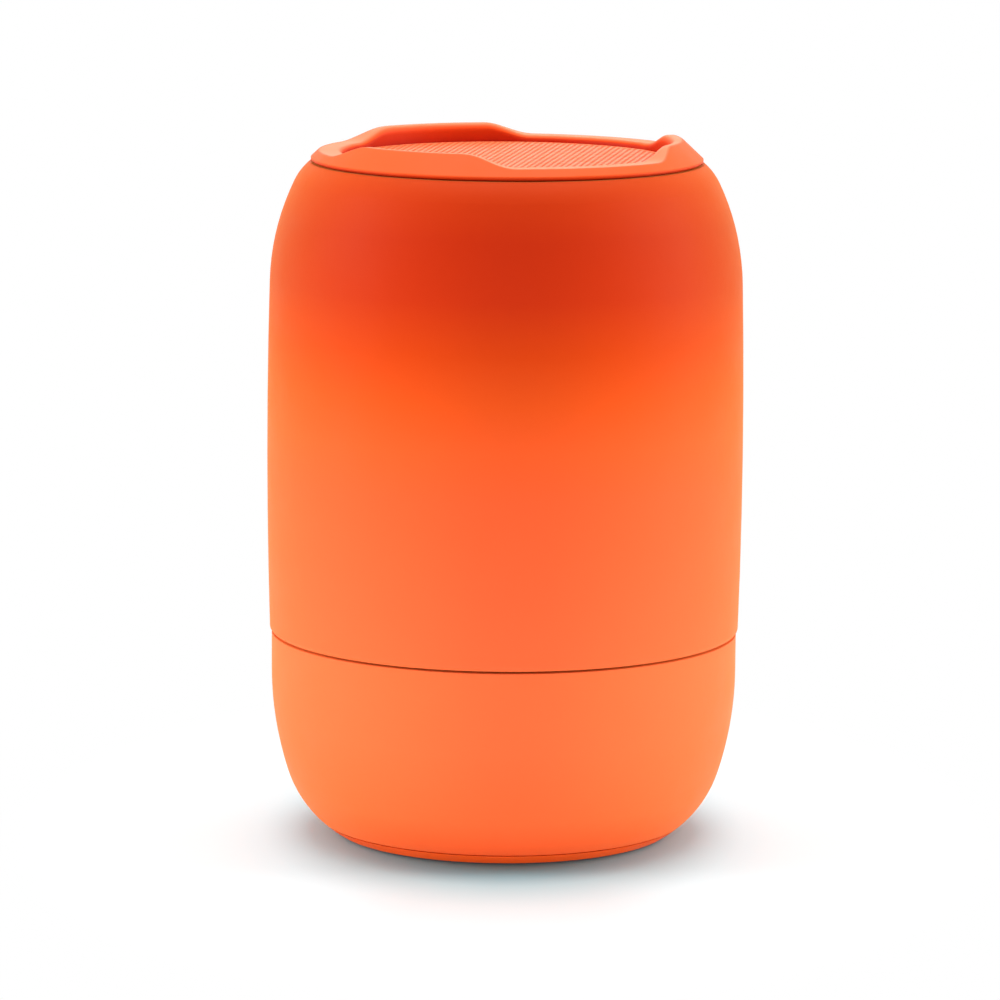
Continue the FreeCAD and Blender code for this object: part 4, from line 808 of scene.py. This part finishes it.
def in_plain_sight(tree):
    """1 where a surface is seen by the camera, through glass or in a gloss, and 0 for its own light."""
    ray = tree.nodes.new("ShaderNodeLightPath").outputs
    seen = combine(tree, "MAXIMUM", ray["Is Camera Ray"], ray["Is Transmission Ray"])
    return combine(tree, "MAXIMUM", seen, ray["Is Glossy Ray"])


world = bpy.data.worlds.new("studio_world")
scene.world = world
world.use_nodes = True
tree = world.node_tree
air = tree.nodes["Background"]
air.inputs["Color"].default_value = (1.0, 1.0, 1.0, 1.0)
air.inputs["Strength"].default_value = 0.2
white = tree.nodes.new("ShaderNodeBackground")
white.inputs["Color"].default_value = (1.0, 1.0, 1.0, 1.0)
white.inputs["Strength"].default_value = 1.0
choice = tree.nodes.new("ShaderNodeMixShader")
tree.links.new(in_plain_sight(tree), choice.inputs["Fac"])
tree.links.new(air.outputs["Background"], choice.inputs[1])
tree.links.new(white.outputs["Background"], choice.inputs[2])
tree.links.new(choice.outputs["Shader"], tree.nodes["World Output"].inputs["Surface"])

# The bench fades to plain white by 135 mm out. Where the camera sees it close to the foot, it is
# painted darker and cooler, bluer at the sides: a painted shadow that also keeps the shadow beside
# the orange housing grey.
floor_size = 6.0
corner = floor_size / 2
floor_mesh = bpy.data.meshes.new("bench_top")
corners = [(-corner, -corner, 0), (corner, -corner, 0), (corner, corner, 0), (-corner, corner, 0)]
floor_mesh.from_pydata(corners, [], [(0, 1, 2, 3)])
floor = bpy.data.objects.new("bench_top", floor_mesh)
scene.collection.objects.link(floor)
bench_shade = (0.88, 0.88, 0.88)
# Painted shadow: dark, cool colours close to the foot, in front and at the sides.
near_painted_shadow = ((0.034, (0.18, 0.43, 0.49)), (0.040, (0.27, 0.50, 0.56)), (0.047, (0.45, 0.66, 0.70)),
               (0.062, (0.70, 0.76, 0.77)), (0.090, bench_shade))
side_painted_shadow = ((0.034, (0.18, 0.43, 0.49)), (0.040, (0.27, 0.51, 0.57)), (0.047, (0.42, 0.76, 0.83)),
               (0.062, (0.68, 0.92, 0.97)), (0.075, (0.80, 0.93, 0.95)), (0.100, bench_shade))
bench_white, shader, place = new_finish("bench_white", bench_shade, 0.9, 0.0)
tree = bench_white.node_tree
away = distance(tree, place, (1.35, 0.96, 1.0))
across = tree.nodes.new("ShaderNodeSeparateXYZ")
off_centre = tree.nodes.new("ShaderNodeMath")
off_centre.operation = "ABSOLUTE"
cool_painted_shadow = tree.nodes.new("ShaderNodeMix")
cool_painted_shadow.data_type = "RGBA"
camera_painted_shadow = tree.nodes.new("ShaderNodeMix")
camera_painted_shadow.data_type = "RGBA"
camera_painted_shadow.inputs["A"].default_value = (*bench_shade, 1.0)
glow = tree.nodes.new("ShaderNodeEmission")
glow.inputs["Color"].default_value = (1.0, 1.0, 1.0, 1.0)
glow.inputs["Strength"].default_value = 1.0
choice = tree.nodes.new("ShaderNodeMixShader")
seen = in_plain_sight(tree)
white_share = combine(tree, "MULTIPLY", spread(tree, away, 0.03, 0.13, 0.02, 1.0, smooth=True), seen)
tree.links.new(place, across.inputs["Vector"])
tree.links.new(across.outputs["X"], off_centre.inputs[0])
side_share = spread(tree, off_centre.outputs["Value"], 0.015, 0.042, smooth=True)
tree.links.new(side_share, cool_painted_shadow.inputs["Factor"])
tree.links.new(shades(tree, away, near_painted_shadow), cool_painted_shadow.inputs["A"])
tree.links.new(shades(tree, away, side_painted_shadow), cool_painted_shadow.inputs["B"])
tree.links.new(seen, camera_painted_shadow.inputs["Factor"])
tree.links.new(cool_painted_shadow.outputs["Result"], camera_painted_shadow.inputs["B"])
tree.links.new(camera_painted_shadow.outputs["Result"], shader.inputs["Base Color"])
tree.links.new(white_share, choice.inputs["Fac"])
tree.links.new(shader.outputs["BSDF"], choice.inputs[1])
tree.links.new(glow.outputs["Emission"], choice.inputs[2])
tree.links.new(choice.outputs["Shader"], tree.nodes["Material Output"].inputs["Surface"])
floor_mesh.materials.append(bench_white)
